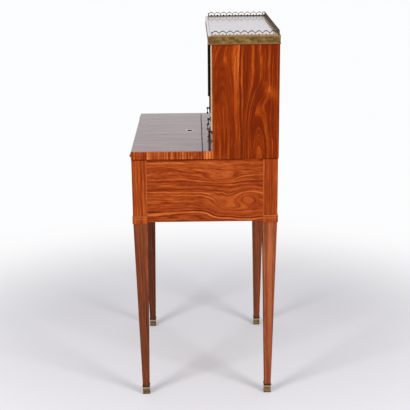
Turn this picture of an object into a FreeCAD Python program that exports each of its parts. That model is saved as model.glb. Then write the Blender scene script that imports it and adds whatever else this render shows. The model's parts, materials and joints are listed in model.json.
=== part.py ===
import FreeCAD
import Part
import Sketcher
import os
import re

from FreeCAD import Placement, Rotation, Vector

# Bonheur du jour: a small lady's writing desk on four tapered legs. A full-width drawer sits in the
# frieze, the writing top folds forward on two knuckle hinges, and a low cabinet at the back holds two
# doors over three small drawers, under a marble top with a brass band and a pierced gallery. The doors
# stand back between the cabinet sides, whose front edges carry a brass edging.
#
# Frame: +Z up, -Y towards the sitter, +X to the sitter's right. The origin is on the floor, under the
# middle of the overall box. Millimetres throughout.

# name, value, what it is
SIZES = (
    ("slab_width", 560, "writing top, side to side"),
    ("case_depth", 405, "front edge of the writing top to the back of the cabinet"),
    ("desk_height", 740, "floor to the closed writing top"),
    ("flap_thick", 10.8, "upper, folding board of the writing top"),
    ("bed_thick", 10.9, "lower, fixed board of the writing top"),
    ("fold_gap", 0.3, "air between the two boards"),
    ("rear_strip_depth", 27, "fixed strip between the flap and the cabinet, front to back"),
    ("split_gap", 0.5, "width of the split line"),
    ("leather_border", 30, "veneer left round the writing leather"),
    ("leather_lock_border", 58, "veneer left between the leather and the free edge, where the lock is"),
    ("leather_thick", 0.8, "writing leather, let in flush"),
    ("frieze_height", 180, "aprons and posts under the writing top"),
    ("side_overhang", 4, "writing top past the frieze at each side"),
    ("front_overhang", 0.5, "writing top past the frieze in front"),
    ("rear_overhang", 1.2, "writing top past the frieze behind"),
    ("post_side", 41, "square leg post inside the frieze"),
    ("apron_thick", 12, "side and back aprons"),
    ("rail_height", 12, "rail under the frieze drawer"),
    ("rail_depth", 30, "rail under the frieze drawer, front to back"),
    ("runner_width", 29, "drawer runner, inwards from the apron"),
    ("guide_height", 15, "side guide that stands on the runner"),
    ("leg_top_side", 41, "tapered leg just under the frieze"),
    ("leg_foot_side", 18.5, "tapered leg inside its brass shoe"),
    ("leg_toe_in", 1.3, "how far each foot stands in from its post, both ways"),
    ("collar_height", 21.5, "collar round the leg where it meets the frieze"),
    ("collar_drop", 4.5, "collar below the frieze"),
    ("collar_reach", 1.6, "collar proud of the frieze"),
    ("sabot_height", 28, "brass shoe on the foot"),
    ("sabot_floor", 3, "brass under the end of the leg"),
    ("sabot_foot_side", 19.8, "brass shoe at the floor"),
    ("sabot_neck_side", 20.6, "brass shoe under its rim"),
    ("sabot_rim_side", 22.2, "rim of the brass shoe"),
    ("sabot_rim_height", 4.5, "rim of the brass shoe"),
    ("drawer_gap", 1, "clearance round the front of the frieze drawer"),
    ("drawer_run_gap", 0.4, "clearance between a drawer and what it runs on"),
    ("drawer_front_thick", 15, "front of the frieze drawer"),
    ("drawer_side_thick", 9, "sides and back of the frieze drawer"),
    ("drawer_depth", 345, "frieze drawer, front to back"),
    ("drawer_bottom_thick", 5, "bottom of the frieze drawer"),
    ("drawer_bottom_lift", 6, "bottom above the lower edge of the sides"),
    ("drawer_back_drop", 10, "back lower than the sides"),
    ("frieze_pull_spread", 115, "ring pulls of the frieze drawer, out from the middle"),
    ("frieze_pull_drop", 77, "ring hinges below the top of the frieze drawer"),
    ("drawer_lock_width", 50, "lock of the frieze drawer"),
    ("drawer_lock_height", 36, "lock of the frieze drawer"),
    ("drawer_lock_thick", 9, "lock of the frieze drawer"),
    ("drawer_lock_sunk", 5, "lock let into the back of the drawer front"),
    ("drawer_lock_drop", 3, "lock below the top of the drawer front"),
    ("keyhole_width", 16, "escutcheon round a keyhole"),
    ("keyhole_height", 24, "escutcheon round a keyhole"),
    ("keyhole_thick", 1, "escutcheon round a keyhole"),
    ("key_slot_radius", 2.2, "hole for the key"),
    ("hinge_length", 30, "knuckle hinge of the flap, along the edge"),
    ("hinge_end_inset", 2, "knuckle hinge in from the end of the flap"),
    ("hinge_leaf_depth", 24, "leaf let into each board"),
    ("hinge_leaf_thick", 1.6, "leaf let into each board"),
    ("knuckle_radius", 3.5, "rolled knuckle"),
    ("knuckle_lead", 0.2, "knuckle centre in front of the edge"),
    ("knuckle_gap", 0.4, "clearance round and between knuckles"),
    ("hinge_pin_radius", 1.3, "pin through the knuckles"),
    ("hinge_pin_clearance", 0.08, "running fit of the pin"),
    ("flap_lock_width", 44, "lock of the flap"),
    ("flap_lock_depth", 26, "lock of the flap"),
    ("flap_lock_thick", 7, "lock of the flap"),
    ("flap_lock_setback", 36, "lock centre in front of the split line"),
    ("flap_plate_length", 28, "oval lock plate on the flap"),
    ("flap_plate_width", 22, "oval lock plate on the flap"),
    ("flap_plate_proud", 0.2, "oval lock plate on the flap"),
    ("cabinet_depth", 181, "cabinet side, front to back"),
    ("cabinet_height", 288, "cabinet side above the writing top"),
    ("side_thick", 11, "cabinet side"),
    ("back_thick", 8, "cabinet back"),
    ("mid_board_thick", 8, "board over the small drawers"),
    ("small_drawer_zone", 48, "height of the small drawers' openings"),
    ("divider_thick", 7, "upright between two small drawers"),
    ("shelf_thick", 8, "shelf in the cabinet"),
    ("shelf_height", 112, "shelf above the board over the small drawers"),
    ("shelf_clearance", 2, "shelf behind the closed doors"),
    ("top_board_thick", 14, "board under the marble"),
    ("marble_thick", 8.5, "marble top"),
    ("marble_gap", 0.4, "joint between marble and band"),
    ("band_height", 23, "brass band round the top"),
    ("band_side_reach", 4, "band past the cabinet at each side"),
    ("band_rear_reach", 1.8, "band past the cabinet behind"),
    ("band_front_reach", 10.5, "band in front of the cabinet sides"),
    ("band_wall", 2, "brass of the band at its rims"),
    ("band_rim", 3, "height of each rim of the band"),
    ("band_ledge", 6.4, "upper rim of the band, from outside to the marble"),
    ("band_recess", 0.8, "band between its rims, set in"),
    ("gallery_height", 13, "pierced gallery above the band"),
    ("gallery_valley", 7.5, "gallery where two arches meet"),
    ("gallery_crown", 5, "flat top of each arch"),
    ("gallery_rail", 2.4, "foot rail of the gallery"),
    ("gallery_bar", 2.3, "width of the gallery's bars"),
    ("gallery_hump", 2.6, "small half disc in each arch"),
    ("gallery_thick", 1.4, "sheet of the gallery"),
    ("gallery_inset", 3, "gallery in from the outside of the band"),
    ("gallery_corner", 8, "rounded rear corners of the gallery"),
    ("gallery_setback", 10.7, "open ends of the gallery behind the front of the band"),
    ("gallery_side_bays", 9, "arches along each side"),
    ("gallery_back_bays", 29, "arches along the back"),
    ("door_thick", 10, "door frame"),
    ("door_recess", 12, "doors behind the front edges of the cabinet sides"),
    ("door_side_gap", 1.5, "door in from the cabinet side"),
    ("door_low_gap", 0.8, "door above the board under it"),
    ("door_top_gap", 1, "door under the top board"),
    ("door_meeting_gap", 1.5, "between the two doors"),
    ("door_stile", 30, "width of the door frame's members"),
    ("door_panel_thick", 5, "veneered panel in a door"),
    ("door_panel_setback", 2.5, "panel behind the face of its frame"),
    ("bead_width", 4, "brass bead round a door panel"),
    ("bead_proud", 0.6, "brass bead in front of the frame"),
    ("pivot_inset", 2.5, "pivot in from the door's outer and front faces"),
    ("pivot_radius", 1.5, "pivot pin of a door"),
    ("pivot_grip", 8, "pivot pin inside the door"),
    ("pivot_reach", 5, "pivot pin past the end of the door"),
    ("pivot_clearance", 0.08, "running fit of a pivot"),
    ("edging_proud", 4, "brass edging in front of a cabinet side"),
    ("door_lock_width", 24, "lock of the right door"),
    ("door_lock_height", 44, "lock of the right door"),
    ("door_lock_thick", 4, "lock of the right door"),
    ("small_gap", 0.8, "clearance round the front of a small drawer"),
    ("small_front_thick", 10, "front of a small drawer"),
    ("small_wall", 6, "sides and back of a small drawer"),
    ("small_bottom", 4, "bottom of a small drawer"),
    ("small_depth", 158, "small drawer, front to back"),
    ("small_tray_drop", 4, "tray lower than its front"),
    ("small_pull_height", 34, "ring hinges of the small drawers above the writing top"),
    ("pull_plate_radius", 8, "round plate of a ring pull"),
    ("pull_plate_thick", 1.5, "round plate of a ring pull"),
    ("pull_stem_radius", 1.6, "stem of a ring pull"),
    ("pull_eye_radius", 3.5, "eye that the ring hangs in"),
    ("pull_eye_width", 4, "eye that the ring hangs in"),
    ("pull_eye_bore", 1.8, "hole of the eye"),
    ("pull_reach", 10.5, "ring pull proud of its drawer front"),
    ("ring_radius", 8.5, "ring, to the middle of its wire"),
    ("ring_wire", 1.3, "radius of the ring's wire"),
)

# name, formula, what it is
PLACES = (
    ("slab_half", "slab_width / 2", "end of the writing top"),
    ("front_reach", "pull_reach - front_overhang", "rings of the frieze drawer past the writing top"),
    ("slab_front", "(front_reach - band_rear_reach - case_depth) / 2", "front edge of the writing top"),
    ("case_back", "slab_front + case_depth", "back of the cabinet"),
    ("cabinet_front", "case_back - cabinet_depth", "front edge of the cabinet sides"),
    ("flap_depth", "case_depth - cabinet_depth - rear_strip_depth - split_gap", "flap, front to back"),
    ("split_line", "slab_front + flap_depth", "free edge of the flap"),
    ("flap_low", "desk_height - flap_thick", "underside of the flap"),
    ("bed_top", "flap_low - fold_gap", "upper face of the bed"),
    ("frieze_top", "bed_top - bed_thick", "underside of the bed"),
    ("frieze_bottom", "frieze_top - frieze_height", "lower edge of the frieze"),
    ("frieze_half", "slab_half - side_overhang", "outer face of a side apron"),
    ("frieze_front", "slab_front + front_overhang", "front face of the frieze"),
    ("frieze_back", "case_back - rear_overhang", "back face of the frieze"),
    ("post_inner", "frieze_half - post_side", "inner face of a leg post"),
    ("apron_run", "frieze_back - frieze_front - 2 * post_side", "side apron between two posts"),
    ("rail_top", "frieze_bottom + rail_height", "what the frieze drawer runs on"),
    ("knuckle_line", "slab_front - knuckle_lead", "hinge axis of the flap"),
    ("knuckle_height", "bed_top + fold_gap / 2", "hinge axis of the flap"),
    ("knuckle_length", "hinge_length / 3", "one of three knuckles"),
    ("hinge_start", "slab_half - hinge_end_inset - hinge_length", "inner end of a flap hinge"),
    ("leather_width", "slab_width - 2 * leather_border", "writing leather"),
    ("leather_depth", "flap_depth - leather_border - leather_lock_border", "writing leather"),
    ("cabinet_inner", "slab_half - side_thick", "inner face of a cabinet side"),
    ("cabinet_top", "desk_height + cabinet_height", "underside of the top board"),
    ("cabinet_inside_depth", "cabinet_depth - back_thick", "cabinet front to the face of its back"),
    ("mid_board_low", "desk_height + small_drawer_zone", "top of the small drawers' openings"),
    ("mid_board_top", "mid_board_low + mid_board_thick", "floor of the upper cabinet"),
    ("bay_width", "(2 * cabinet_inner - 2 * divider_thick) / 3", "opening of one small drawer"),
    ("door_front", "cabinet_front + door_recess", "front face of the doors"),
    ("door_low", "mid_board_top + door_low_gap", "lower edge of the doors"),
    ("door_height", "cabinet_top - door_top_gap - door_low", "doors"),
    ("door_width", "cabinet_inner - door_side_gap - door_meeting_gap / 2", "doors"),
    ("door_middle", "door_meeting_gap / 2 + door_width / 2", "middle of a door"),
    ("panel_width", "door_width - 2 * door_stile", "panel of a door"),
    ("panel_height", "door_height - 2 * door_stile", "panel of a door"),
    ("pivot_x", "cabinet_inner - door_side_gap - pivot_inset", "pivot of a door"),
    ("pivot_y", "door_front + pivot_inset", "pivot of a door"),
    ("shelf_setback", "door_recess + door_thick + shelf_clearance", "shelf behind the cabinet's front"),
    ("band_front", "cabinet_front - band_front_reach", "front of the band"),
    ("band_back", "case_back + band_rear_reach", "back of the band"),
    ("band_half", "slab_half + band_side_reach", "end of the band"),
    ("band_depth", "band_back - band_front", "band, front to back"),
    ("marble_low", "cabinet_top + top_board_thick", "underside of the marble"),
    ("marble_half", "band_half - band_ledge - marble_gap", "end of the marble"),
    ("marble_front", "band_front + band_ledge + marble_gap", "front edge of the marble"),
    ("marble_depth", "band_depth - 2 * band_ledge - 2 * marble_gap", "marble, front to back"),
    ("small_front_width", "bay_width - 2 * small_gap", "front of a small drawer"),
    ("small_front_height", "small_drawer_zone - 2 * small_gap", "front of a small drawer"),
    ("small_tray_height", "small_front_height - small_tray_drop", "tray of a small drawer"),
    ("small_ring_line", "desk_height + small_pull_height", "ring hinges of the small drawers"),
    ("drawer_half", "post_inner - drawer_gap", "side of the frieze drawer"),
    ("drawer_low", "rail_top + drawer_run_gap", "lower edge of the frieze drawer's sides"),
    ("drawer_top", "frieze_top - drawer_gap", "upper edge of the frieze drawer"),
    ("drawer_front_back", "frieze_front + drawer_front_thick", "inner face of the drawer front"),
    ("drawer_end", "frieze_front + drawer_depth", "back of the frieze drawer"),
    ("frieze_ring_line", "drawer_top - frieze_pull_drop", "ring hinges of the frieze drawer"),
    ("lock_line", "drawer_top - drawer_lock_drop - drawer_lock_height / 2", "keyhole of the drawer"),
    ("door_lock_line", "door_low + door_height / 2", "keyholes of the doors"),
    ("flap_lock_line", "split_line - flap_lock_setback", "lock of the flap"),
    ("leg_x", "frieze_half - post_side / 2", "middle of a leg"),
    ("leg_front_y", "frieze_front + post_side / 2", "middle of a front leg"),
    ("leg_back_y", "frieze_back - post_side / 2", "middle of a back leg"),
)

DOC = FreeCAD.newDocument("BonheurDuJour")
SIZE_NAMES = {name for name, value, note in SIZES}
PLACE_NAMES = {name for name, formula, note in PLACES}
TURN = {"x": Rotation(Vector(0, 1, 0), 90), "y": Rotation(Vector(1, 0, 0), -90), "z": Rotation()}
SIDES = (("left", -1), ("right", 1))
NODES = []


def rule(formula):
    """The formula with each name led by the sheet that holds it."""
    def with_sheet(match):
        name = match.group(0)
        if name in SIZE_NAMES:
            return "Sizes." + name
        if name in PLACE_NAMES:
            return "Places." + name
        return name
    return re.sub(r"[a-z_]+", with_sheet, formula)


def fill_sheet(title, rows):
    """One row to a name: the name, its value or formula, and what it is."""
    sheet = DOC.addObject("Spreadsheet::Sheet", title)
    for row, (name, value, note) in enumerate(rows, start=1):
        sheet.set(f"A{row}", name)
        sheet.set(f"B{row}", "=" + rule(value) if isinstance(value, str) else str(value))
        sheet.set(f"C{row}", note)
        sheet.setAlias(f"B{row}", name)
    return sheet


sizes = fill_sheet("Sizes", SIZES)
places = fill_sheet("Places", PLACES)
DOC.recompute()


def value(name):
    """The number that a name stands for, once the sheets are worked out."""
    sheet = sizes if name in SIZE_NAMES else places
    return float(sheet.get(name))


def bind(item, **rules):
    for name, formula in rules.items():
        item.setExpression(name, rule(formula))


def put(item, x, y, z, turn="z"):
    """Place an item by three formulas, its own Z axis turned to the named one."""
    item.Placement = Placement(Vector(), TURN[turn])
    for axis, formula in (("x", x), ("y", y), ("z", z)):
        item.setExpression(f"Placement.Base.{axis}", rule(formula))


def node(label, item):
    """Name a finished piece."""
    item.Label = label
    NODES.append(item)
    return item


def on_side(sign, start, length):
    """Low end of a span that starts `start` out from the middle, on one side of it."""
    return start if sign > 0 else f"-({start}) - ({length})"


def signed(sign, formula):
    return formula if sign > 0 else f"-({formula})"


# --- primitives and booleans ---------------------------------------------------------------------

def block(x, y, z):
    """A box; each axis is a pair of formulas, the low end and the length."""
    item = DOC.addObject("Part::Box", "Block")
    put(item, x[0], y[0], z[0])
    bind(item, Length=x[1], Width=y[1], Height=z[1])
    return item


def rod(axis, x, y, z, radius, length):
    """A cylinder that starts at (x, y, z) and runs along the named axis."""
    item = DOC.addObject("Part::Cylinder", "Rod")
    put(item, x, y, z, axis)
    bind(item, Radius=radius, Height=length)
    return item


def fuse(*parts):
    item = DOC.addObject("Part::MultiFuse", "Fuse")
    item.Shapes = list(parts)
    return item


def cut(base, *tools):
    item = DOC.addObject("Part::Cut", "Cut")
    item.Base = base
    item.Tool = tools[0] if len(tools) == 1 else fuse(*tools)
    return item


def group(*parts):
    item = DOC.addObject("Part::Compound", "Group")
    item.Links = list(parts)
    return item


# --- bodies with sketches ------------------------------------------------------------------------

def body(x, y, z):
    item = DOC.addObject("PartDesign::Body", "Body")
    put(item, x, y, z)
    return item


def sketch_on(item, plane, lift="0"):
    """An empty sketch parallel to one of the body's own planes."""
    sketch = item.newObject("Sketcher::SketchObject", "Sketch")
    support = next(part for part in item.Origin.OriginFeatures if part.Role == plane)
    sketch.AttachmentSupport = [(support, "")]
    sketch.MapMode = "FlatFace"
    sketch.setExpression("AttachmentOffset.Base.z", rule(lift))
    return sketch


def add_rectangle(sketch, name, width, height):
    """A rectangle centred on the sketch's origin."""
    first = sketch.GeometryCount
    corners = [Vector(-5, -5, 0), Vector(5, -5, 0), Vector(5, 5, 0), Vector(-5, 5, 0)]
    for start, end in zip(corners, corners[1:] + corners[:1]):
        sketch.addGeometry(Part.LineSegment(start, end), False)
    for side in range(4):
        sketch.addConstraint(Sketcher.Constraint("Coincident", first + side, 2, first + (side + 1) % 4, 1))
    for side, kind in enumerate(("Horizontal", "Vertical", "Horizontal", "Vertical")):
        sketch.addConstraint(Sketcher.Constraint(kind, first + side))
    sketch.addConstraint(Sketcher.Constraint("Symmetric", first, 1, first + 2, 1, -1, 1))
    for kind, line, formula in (("DistanceX", first, width), ("DistanceY", first + 1, height)):
        index = sketch.addConstraint(Sketcher.Constraint(kind, line, 1, line, 2, 10))
        sketch.renameConstraint(index, name + kind)
        sketch.setExpression(f"Constraints.{name}{kind}", rule(formula))


def pad(item, sketch, length, backwards=False):
    feature = item.newObject("PartDesign::Pad", "Pad")
    feature.Profile = sketch
    feature.Reversed = backwards
    bind(feature, Length=length)
    return feature


def pocket(item, sketch, length):
    feature = item.newObject("PartDesign::Pocket", "Pocket")
    feature.Profile = sketch
    bind(feature, Length=length)
    return feature


def frame_pad(item, plane, outer, inner, length, lift="0", backwards=False):
    """A rectangular frame: two nested rectangles padded together."""
    sketch = sketch_on(item, plane, lift)
    add_rectangle(sketch, "Outer", *outer)
    add_rectangle(sketch, "Inner", *inner)
    return pad(item, sketch, length, backwards)


# --- stand: legs, collars, sabots, aprons, rail and runners --------------------------------------

def taper(sign_x, sign_y, low, high, low_side, high_side, high_shift):
    """A square pillar over a foot; its upper end stands out by `high_shift` towards its corner."""
    pillar = DOC.addObject("Part::Wedge", "Taper")
    foot_y = "leg_front_y + leg_toe_in" if sign_y < 0 else "leg_back_y - leg_toe_in"
    put(pillar, signed(sign_x, "leg_x - leg_toe_in"), foot_y, low)
    pillar.Placement = Placement(pillar.Placement.Base, Rotation(Vector(1, 0, 0), 90))
    shift_x = signed(sign_x, high_shift)
    shift_z = signed(-sign_y, high_shift)
    bind(pillar, Ymin="0", Ymax=f"{high} - {low}",
         Xmin=f"-{low_side} / 2", Xmax=f"{low_side} / 2", Zmin=f"-{low_side} / 2", Zmax=f"{low_side} / 2",
         X2min=f"{shift_x} - {high_side} / 2", X2max=f"{shift_x} + {high_side} / 2",
         Z2min=f"{shift_z} - {high_side} / 2", Z2max=f"{shift_z} + {high_side} / 2")
    return pillar


def corner_block(sign_x, sign_y, reach, z):
    """A square block on a corner of the frieze, from the post's inner faces to `reach` past the outer."""
    length = f"post_side + {reach}"
    y = f"frieze_front - {reach}" if sign_y < 0 else "frieze_back - post_side"
    return block((on_side(sign_x, "post_inner", length), length), (y, length), z)


def make_leg(sign_x, sign_y):
    """A square post in the frieze and a tapered leg under it, one piece of wood."""
    post = corner_block(sign_x, sign_y, "0", ("frieze_bottom", "frieze_height"))
    shaft = taper(sign_x, sign_y, "sabot_floor", "frieze_bottom",
                  "leg_foot_side", "leg_top_side", "leg_toe_in")
    return fuse(post, shaft)


def make_collar(sign_x, sign_y, leg):
    """A moulding round the two outer faces of a post, closed under the frieze."""
    ring = corner_block(sign_x, sign_y, "collar_reach", ("frieze_bottom - collar_drop", "collar_height"))
    return cut(ring, leg)


def make_sabot(sign_x, sign_y, leg):
    """A brass shoe with a rim, hollow where the leg stands in it."""
    neck = "(sabot_height - sabot_rim_height)"
    cup = taper(sign_x, sign_y, "0", neck, "sabot_foot_side", "sabot_neck_side", "0")
    rim = taper(sign_x, sign_y, neck, "sabot_height", "sabot_rim_side", "sabot_rim_side", "0")
    return cut(fuse(cup, rim), leg)


collars = []
sabots = []
for depth_name, depth_sign in (("front", -1), ("rear", 1)):
    for side_name, side_sign in SIDES:
        leg = make_leg(side_sign, depth_sign)
        node(f"leg_{depth_name}_{side_name}", leg)
        collars.append(make_collar(side_sign, depth_sign, leg))
        sabots.append(make_sabot(side_sign, depth_sign, leg))
node("leg_collars", group(*collars))
node("sabots", group(*sabots))

frieze_rise = ("frieze_bottom", "frieze_height")
apron_span = ("frieze_front + post_side", "apron_run")
between_posts = ("-post_inner", "2 * post_inner")
for side_name, side_sign in SIDES:
    outer = (on_side(side_sign, "frieze_half - apron_thick", "apron_thick"), "apron_thick")
    node(f"apron_{side_name}", block(outer, apron_span, frieze_rise))
node("apron_back", block(between_posts, ("frieze_back - apron_thick", "apron_thick"), frieze_rise))
node("front_rail", block(between_posts, ("frieze_front", "rail_depth"), ("frieze_bottom", "rail_height")))

runners = []
for side_name, side_sign in SIDES:
    foot_width = "runner_width + frieze_half - apron_thick - post_inner"
    foot_start = "post_inner - runner_width"
    guide_width = "frieze_half - apron_thick - post_inner"
    foot = block((on_side(side_sign, foot_start, foot_width), foot_width), apron_span,
                 ("frieze_bottom", "rail_height"))
    guide = block((on_side(side_sign, "post_inner", guide_width), guide_width), apron_span,
                  ("rail_top", "guide_height"))
    runners.append(fuse(foot, guide))
node("drawer_runners", group(*runners))


# --- ring pulls ----------------------------------------------------------------------------------

def pull_plate(x, face, z):
    """Round plate, stem and eye on a drawer front whose face is at `face`."""
    eye_line = f"{face} - pull_reach + pull_eye_radius"
    plate = rod("y", x, f"{face} - pull_plate_thick", z, "pull_plate_radius", "pull_plate_thick")
    stem = rod("y", x, eye_line, z, "pull_stem_radius", "pull_reach - pull_eye_radius")
    eye = rod("x", f"{x} - pull_eye_width / 2", eye_line, z, "pull_eye_radius", "pull_eye_width")
    bore = rod("x", f"{x} - pull_eye_width", eye_line, z, "pull_eye_bore", "2 * pull_eye_width")
    return cut(fuse(plate, stem, eye), bore)


def pull_ring(x, face, z):
    """The ring that hangs in the eye of a pull."""
    ring = DOC.addObject("Part::Torus", "Ring")
    put(ring, x, f"{face} - pull_reach + pull_eye_radius", f"{z} - ring_radius", "y")
    bind(ring, Radius1="ring_radius", Radius2="ring_wire")
    return ring


# --- frieze drawer -------------------------------------------------------------------------------

def keyhole_plate(x, face, z):
    """A plate round a keyhole, on the face of a drawer or a door."""
    plate = block((f"{x} - keyhole_width / 2", "keyhole_width"),
                  (f"{face} - keyhole_thick", "keyhole_thick"),
                  (f"{z} - keyhole_height / 2", "keyhole_height"))
    hole = rod("y", x, f"{face} - 2 * keyhole_thick", z, "key_slot_radius", "4 * keyhole_thick")
    return cut(plate, hole)


lock_span = ("-drawer_lock_width / 2", "drawer_lock_width")
lock_rise = ("lock_line - drawer_lock_height / 2", "drawer_lock_height")
lock_case = block(lock_span, ("drawer_front_back - drawer_lock_sunk", "drawer_lock_thick"), lock_rise)
lock_mortise = block(lock_span, ("drawer_front_back - drawer_lock_sunk", "2 * drawer_lock_sunk"), lock_rise)
key_way = rod("y", "0", "frieze_front - drawer_front_thick", "lock_line", "key_slot_radius",
              "2 * drawer_front_thick")
front_board = block(("-drawer_half", "2 * drawer_half"), ("frieze_front", "drawer_front_thick"),
                    ("rail_top + drawer_gap", "drawer_top - rail_top - drawer_gap"))
node("frieze_drawer_front", cut(front_board, lock_mortise, key_way))
node("frieze_drawer_lock", group(lock_case, keyhole_plate("0", "frieze_front", "lock_line")))

drawer_run = ("drawer_front_back", "drawer_end - drawer_front_back")
for side_name, side_sign in SIDES:
    start = on_side(side_sign, "drawer_half - drawer_side_thick", "drawer_side_thick")
    node(f"frieze_drawer_side_{side_name}",
         block((start, "drawer_side_thick"), drawer_run, ("drawer_low", "drawer_top - drawer_low")))
inside_drawer = ("-drawer_half + drawer_side_thick", "2 * drawer_half - 2 * drawer_side_thick")
node("frieze_drawer_bottom",
     block(inside_drawer, drawer_run, ("drawer_low + drawer_bottom_lift", "drawer_bottom_thick")))
bottom_top = "drawer_low + drawer_bottom_lift + drawer_bottom_thick"
node("frieze_drawer_back",
     block(inside_drawer, ("drawer_end - drawer_side_thick", "drawer_side_thick"),
           (bottom_top, f"drawer_top - drawer_back_drop - ({bottom_top})")))
node("frieze_drawer_pulls",
     group(*(pull_plate(signed(sign, "frieze_pull_spread"), "frieze_front", "frieze_ring_line")
             for name, sign in SIDES)))
for side_name, side_sign in SIDES:
    node(f"frieze_drawer_ring_{side_name}",
         pull_ring(signed(side_sign, "frieze_pull_spread"), "frieze_front", "frieze_ring_line"))


# --- writing top: fixed bed, strip behind the split, folding flap --------------------------------

whole_width = ("-slab_half", "slab_width")
between_sides = ("-cabinet_inner", "2 * cabinet_inner")
leather_span = ("-leather_width / 2", "leather_width")
leather_run = ("slab_front + leather_border", "leather_depth")


def hinge_room(sign):
    """Space that both boards leave round a hinge's knuckles."""
    length = "hinge_length + 2 * knuckle_gap"
    start = on_side(sign, "hinge_start - knuckle_gap", length)
    return rod("x", start, "knuckle_line", "knuckle_height", "knuckle_radius + knuckle_gap", length)


def hinge_plate(sign, low):
    start = on_side(sign, "hinge_start", "hinge_length")
    return block((start, "hinge_length"), ("knuckle_line", "hinge_leaf_depth + knuckle_lead"),
                 (low, "hinge_leaf_thick"))


def knuckle(sign, place, radius, slack="0"):
    """One of the three knuckles, counted from the inner end, longer by `slack` at each end."""
    length = f"knuckle_length - knuckle_gap + 2 * ({slack})"
    start = f"hinge_start + {place} * knuckle_length + knuckle_gap / 2 - ({slack})"
    return rod("x", on_side(sign, start, length), "knuckle_line", "knuckle_height", radius, length)


def bed_hinge(sign):
    """Leaf, two outer knuckles and the pin that they hold."""
    pin = rod("x", on_side(sign, "hinge_start + knuckle_gap / 2", "hinge_length - knuckle_gap"),
              "knuckle_line", "knuckle_height", "hinge_pin_radius", "hinge_length - knuckle_gap")
    leaf = cut(hinge_plate(sign, "bed_top - hinge_leaf_thick"),
               knuckle(sign, 1, "knuckle_radius + knuckle_gap", "knuckle_gap"))
    return fuse(leaf, knuckle(sign, 0, "knuckle_radius"), knuckle(sign, 2, "knuckle_radius"), pin)


def flap_hinge(sign):
    """Leaf and the middle knuckle, bored for the pin."""
    cleared = [knuckle(sign, place, "knuckle_radius + knuckle_gap", "knuckle_gap") for place in (0, 2)]
    leaf = cut(hinge_plate(sign, "flap_low"), *cleared)
    return cut(fuse(leaf, knuckle(sign, 1, "knuckle_radius")),
               knuckle(sign, 1, "hinge_pin_radius + hinge_pin_clearance", "knuckle_gap"))


slab_rise = ("frieze_top", "desk_height - frieze_top")
bed_blank = block(whole_width, ("slab_front", "flap_depth + split_gap"), ("frieze_top", "bed_thick"))
bed_leather_recess = block(leather_span, leather_run, ("bed_top - leather_thick", "2 * leather_thick"))
node("bed_board",
     cut(bed_blank, bed_leather_recess,
         *(hinge_plate(sign, "bed_top - hinge_leaf_thick") for name, sign in SIDES),
         *(hinge_room(sign) for name, sign in SIDES)))
node("bed_leather", block(leather_span, leather_run, ("bed_top - leather_thick", "leather_thick")))
node("rear_strip",
     block(whole_width, ("split_line + split_gap", "rear_strip_depth"), slab_rise))
node("bed_hinge_leaves", group(*(bed_hinge(sign) for name, sign in SIDES)))

flap_lock_case = (("-flap_lock_width / 2", "flap_lock_width"),
                  ("flap_lock_line - flap_lock_depth / 2", "flap_lock_depth"),
                  ("flap_low", "flap_lock_thick"))


def oval_plate(low, height):
    """An oval prism over the flap's lock."""
    item = DOC.addObject("Part::Ellipse", "Oval")
    put(item, "0", "flap_lock_line", low)
    bind(item, MajorRadius="flap_plate_length / 2", MinorRadius="flap_plate_width / 2")
    solid = DOC.addObject("Part::Extrusion", "Plate")
    solid.Base = item
    solid.DirMode = "Custom"
    solid.Dir = Vector(0, 0, 1)
    solid.Solid = True
    bind(solid, LengthFwd=height)
    return solid


lock_top = "flap_low + flap_lock_thick"
plate_height = "flap_thick - flap_lock_thick"
flap_key_way = rod("z", "0", "flap_lock_line", lock_top, "key_slot_radius", f"2 * ({plate_height})")
flap_blank = block(whole_width, ("slab_front", "flap_depth"), ("flap_low", "flap_thick"))
node("flap_board",
     cut(flap_blank, block(leather_span, leather_run, ("flap_low - leather_thick", "2 * leather_thick")),
         block(*flap_lock_case), oval_plate(lock_top, f"2 * ({plate_height})"),
         *(hinge_plate(sign, "flap_low") for name, sign in SIDES),
         *(hinge_room(sign) for name, sign in SIDES)))
node("flap_leather", block(leather_span, leather_run, ("flap_low", "leather_thick")))
node("flap_hinge_leaves", group(*(flap_hinge(sign) for name, sign in SIDES)))
node("flap_lock", block(*flap_lock_case))
node("flap_lock_plate", cut(oval_plate(lock_top, f"{plate_height} + flap_plate_proud"), flap_key_way))


# --- cabinet -------------------------------------------------------------------------------------

inside_run = ("cabinet_front", "cabinet_inside_depth")
for side_name, side_sign in SIDES:
    start = on_side(side_sign, "cabinet_inner", "side_thick")
    node(f"cabinet_side_{side_name}",
         block((start, "side_thick"), ("cabinet_front", "cabinet_depth"),
               ("frieze_top", "cabinet_top - frieze_top")))
node("cabinet_back",
     block(between_sides, ("case_back - back_thick", "back_thick"),
           ("frieze_top", "cabinet_top - frieze_top")))
node("cabinet_floor", block(between_sides, inside_run, slab_rise))


def pivot_holes(low):
    """Room for the end of each door's pivot pin, from `low` up."""
    radius = "pivot_radius + pivot_clearance"
    length = "2 * pivot_reach"
    return [rod("z", signed(sign, "pivot_x"), "pivot_y", low, radius, length) for name, sign in SIDES]


mid_blank = block(between_sides, inside_run, ("mid_board_low", "mid_board_thick"))
node("mid_board", cut(mid_blank, *pivot_holes("mid_board_top - pivot_reach")))
node("drawer_dividers",
     group(*(block((on_side(sign, "bay_width / 2", "divider_thick"), "divider_thick"), inside_run,
                   ("desk_height", "small_drawer_zone")) for name, sign in SIDES)))
node("cabinet_shelf",
     block(between_sides, ("cabinet_front + shelf_setback", "cabinet_inside_depth - shelf_setback"),
           ("mid_board_top + shelf_height", "shelf_thick")))

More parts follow.
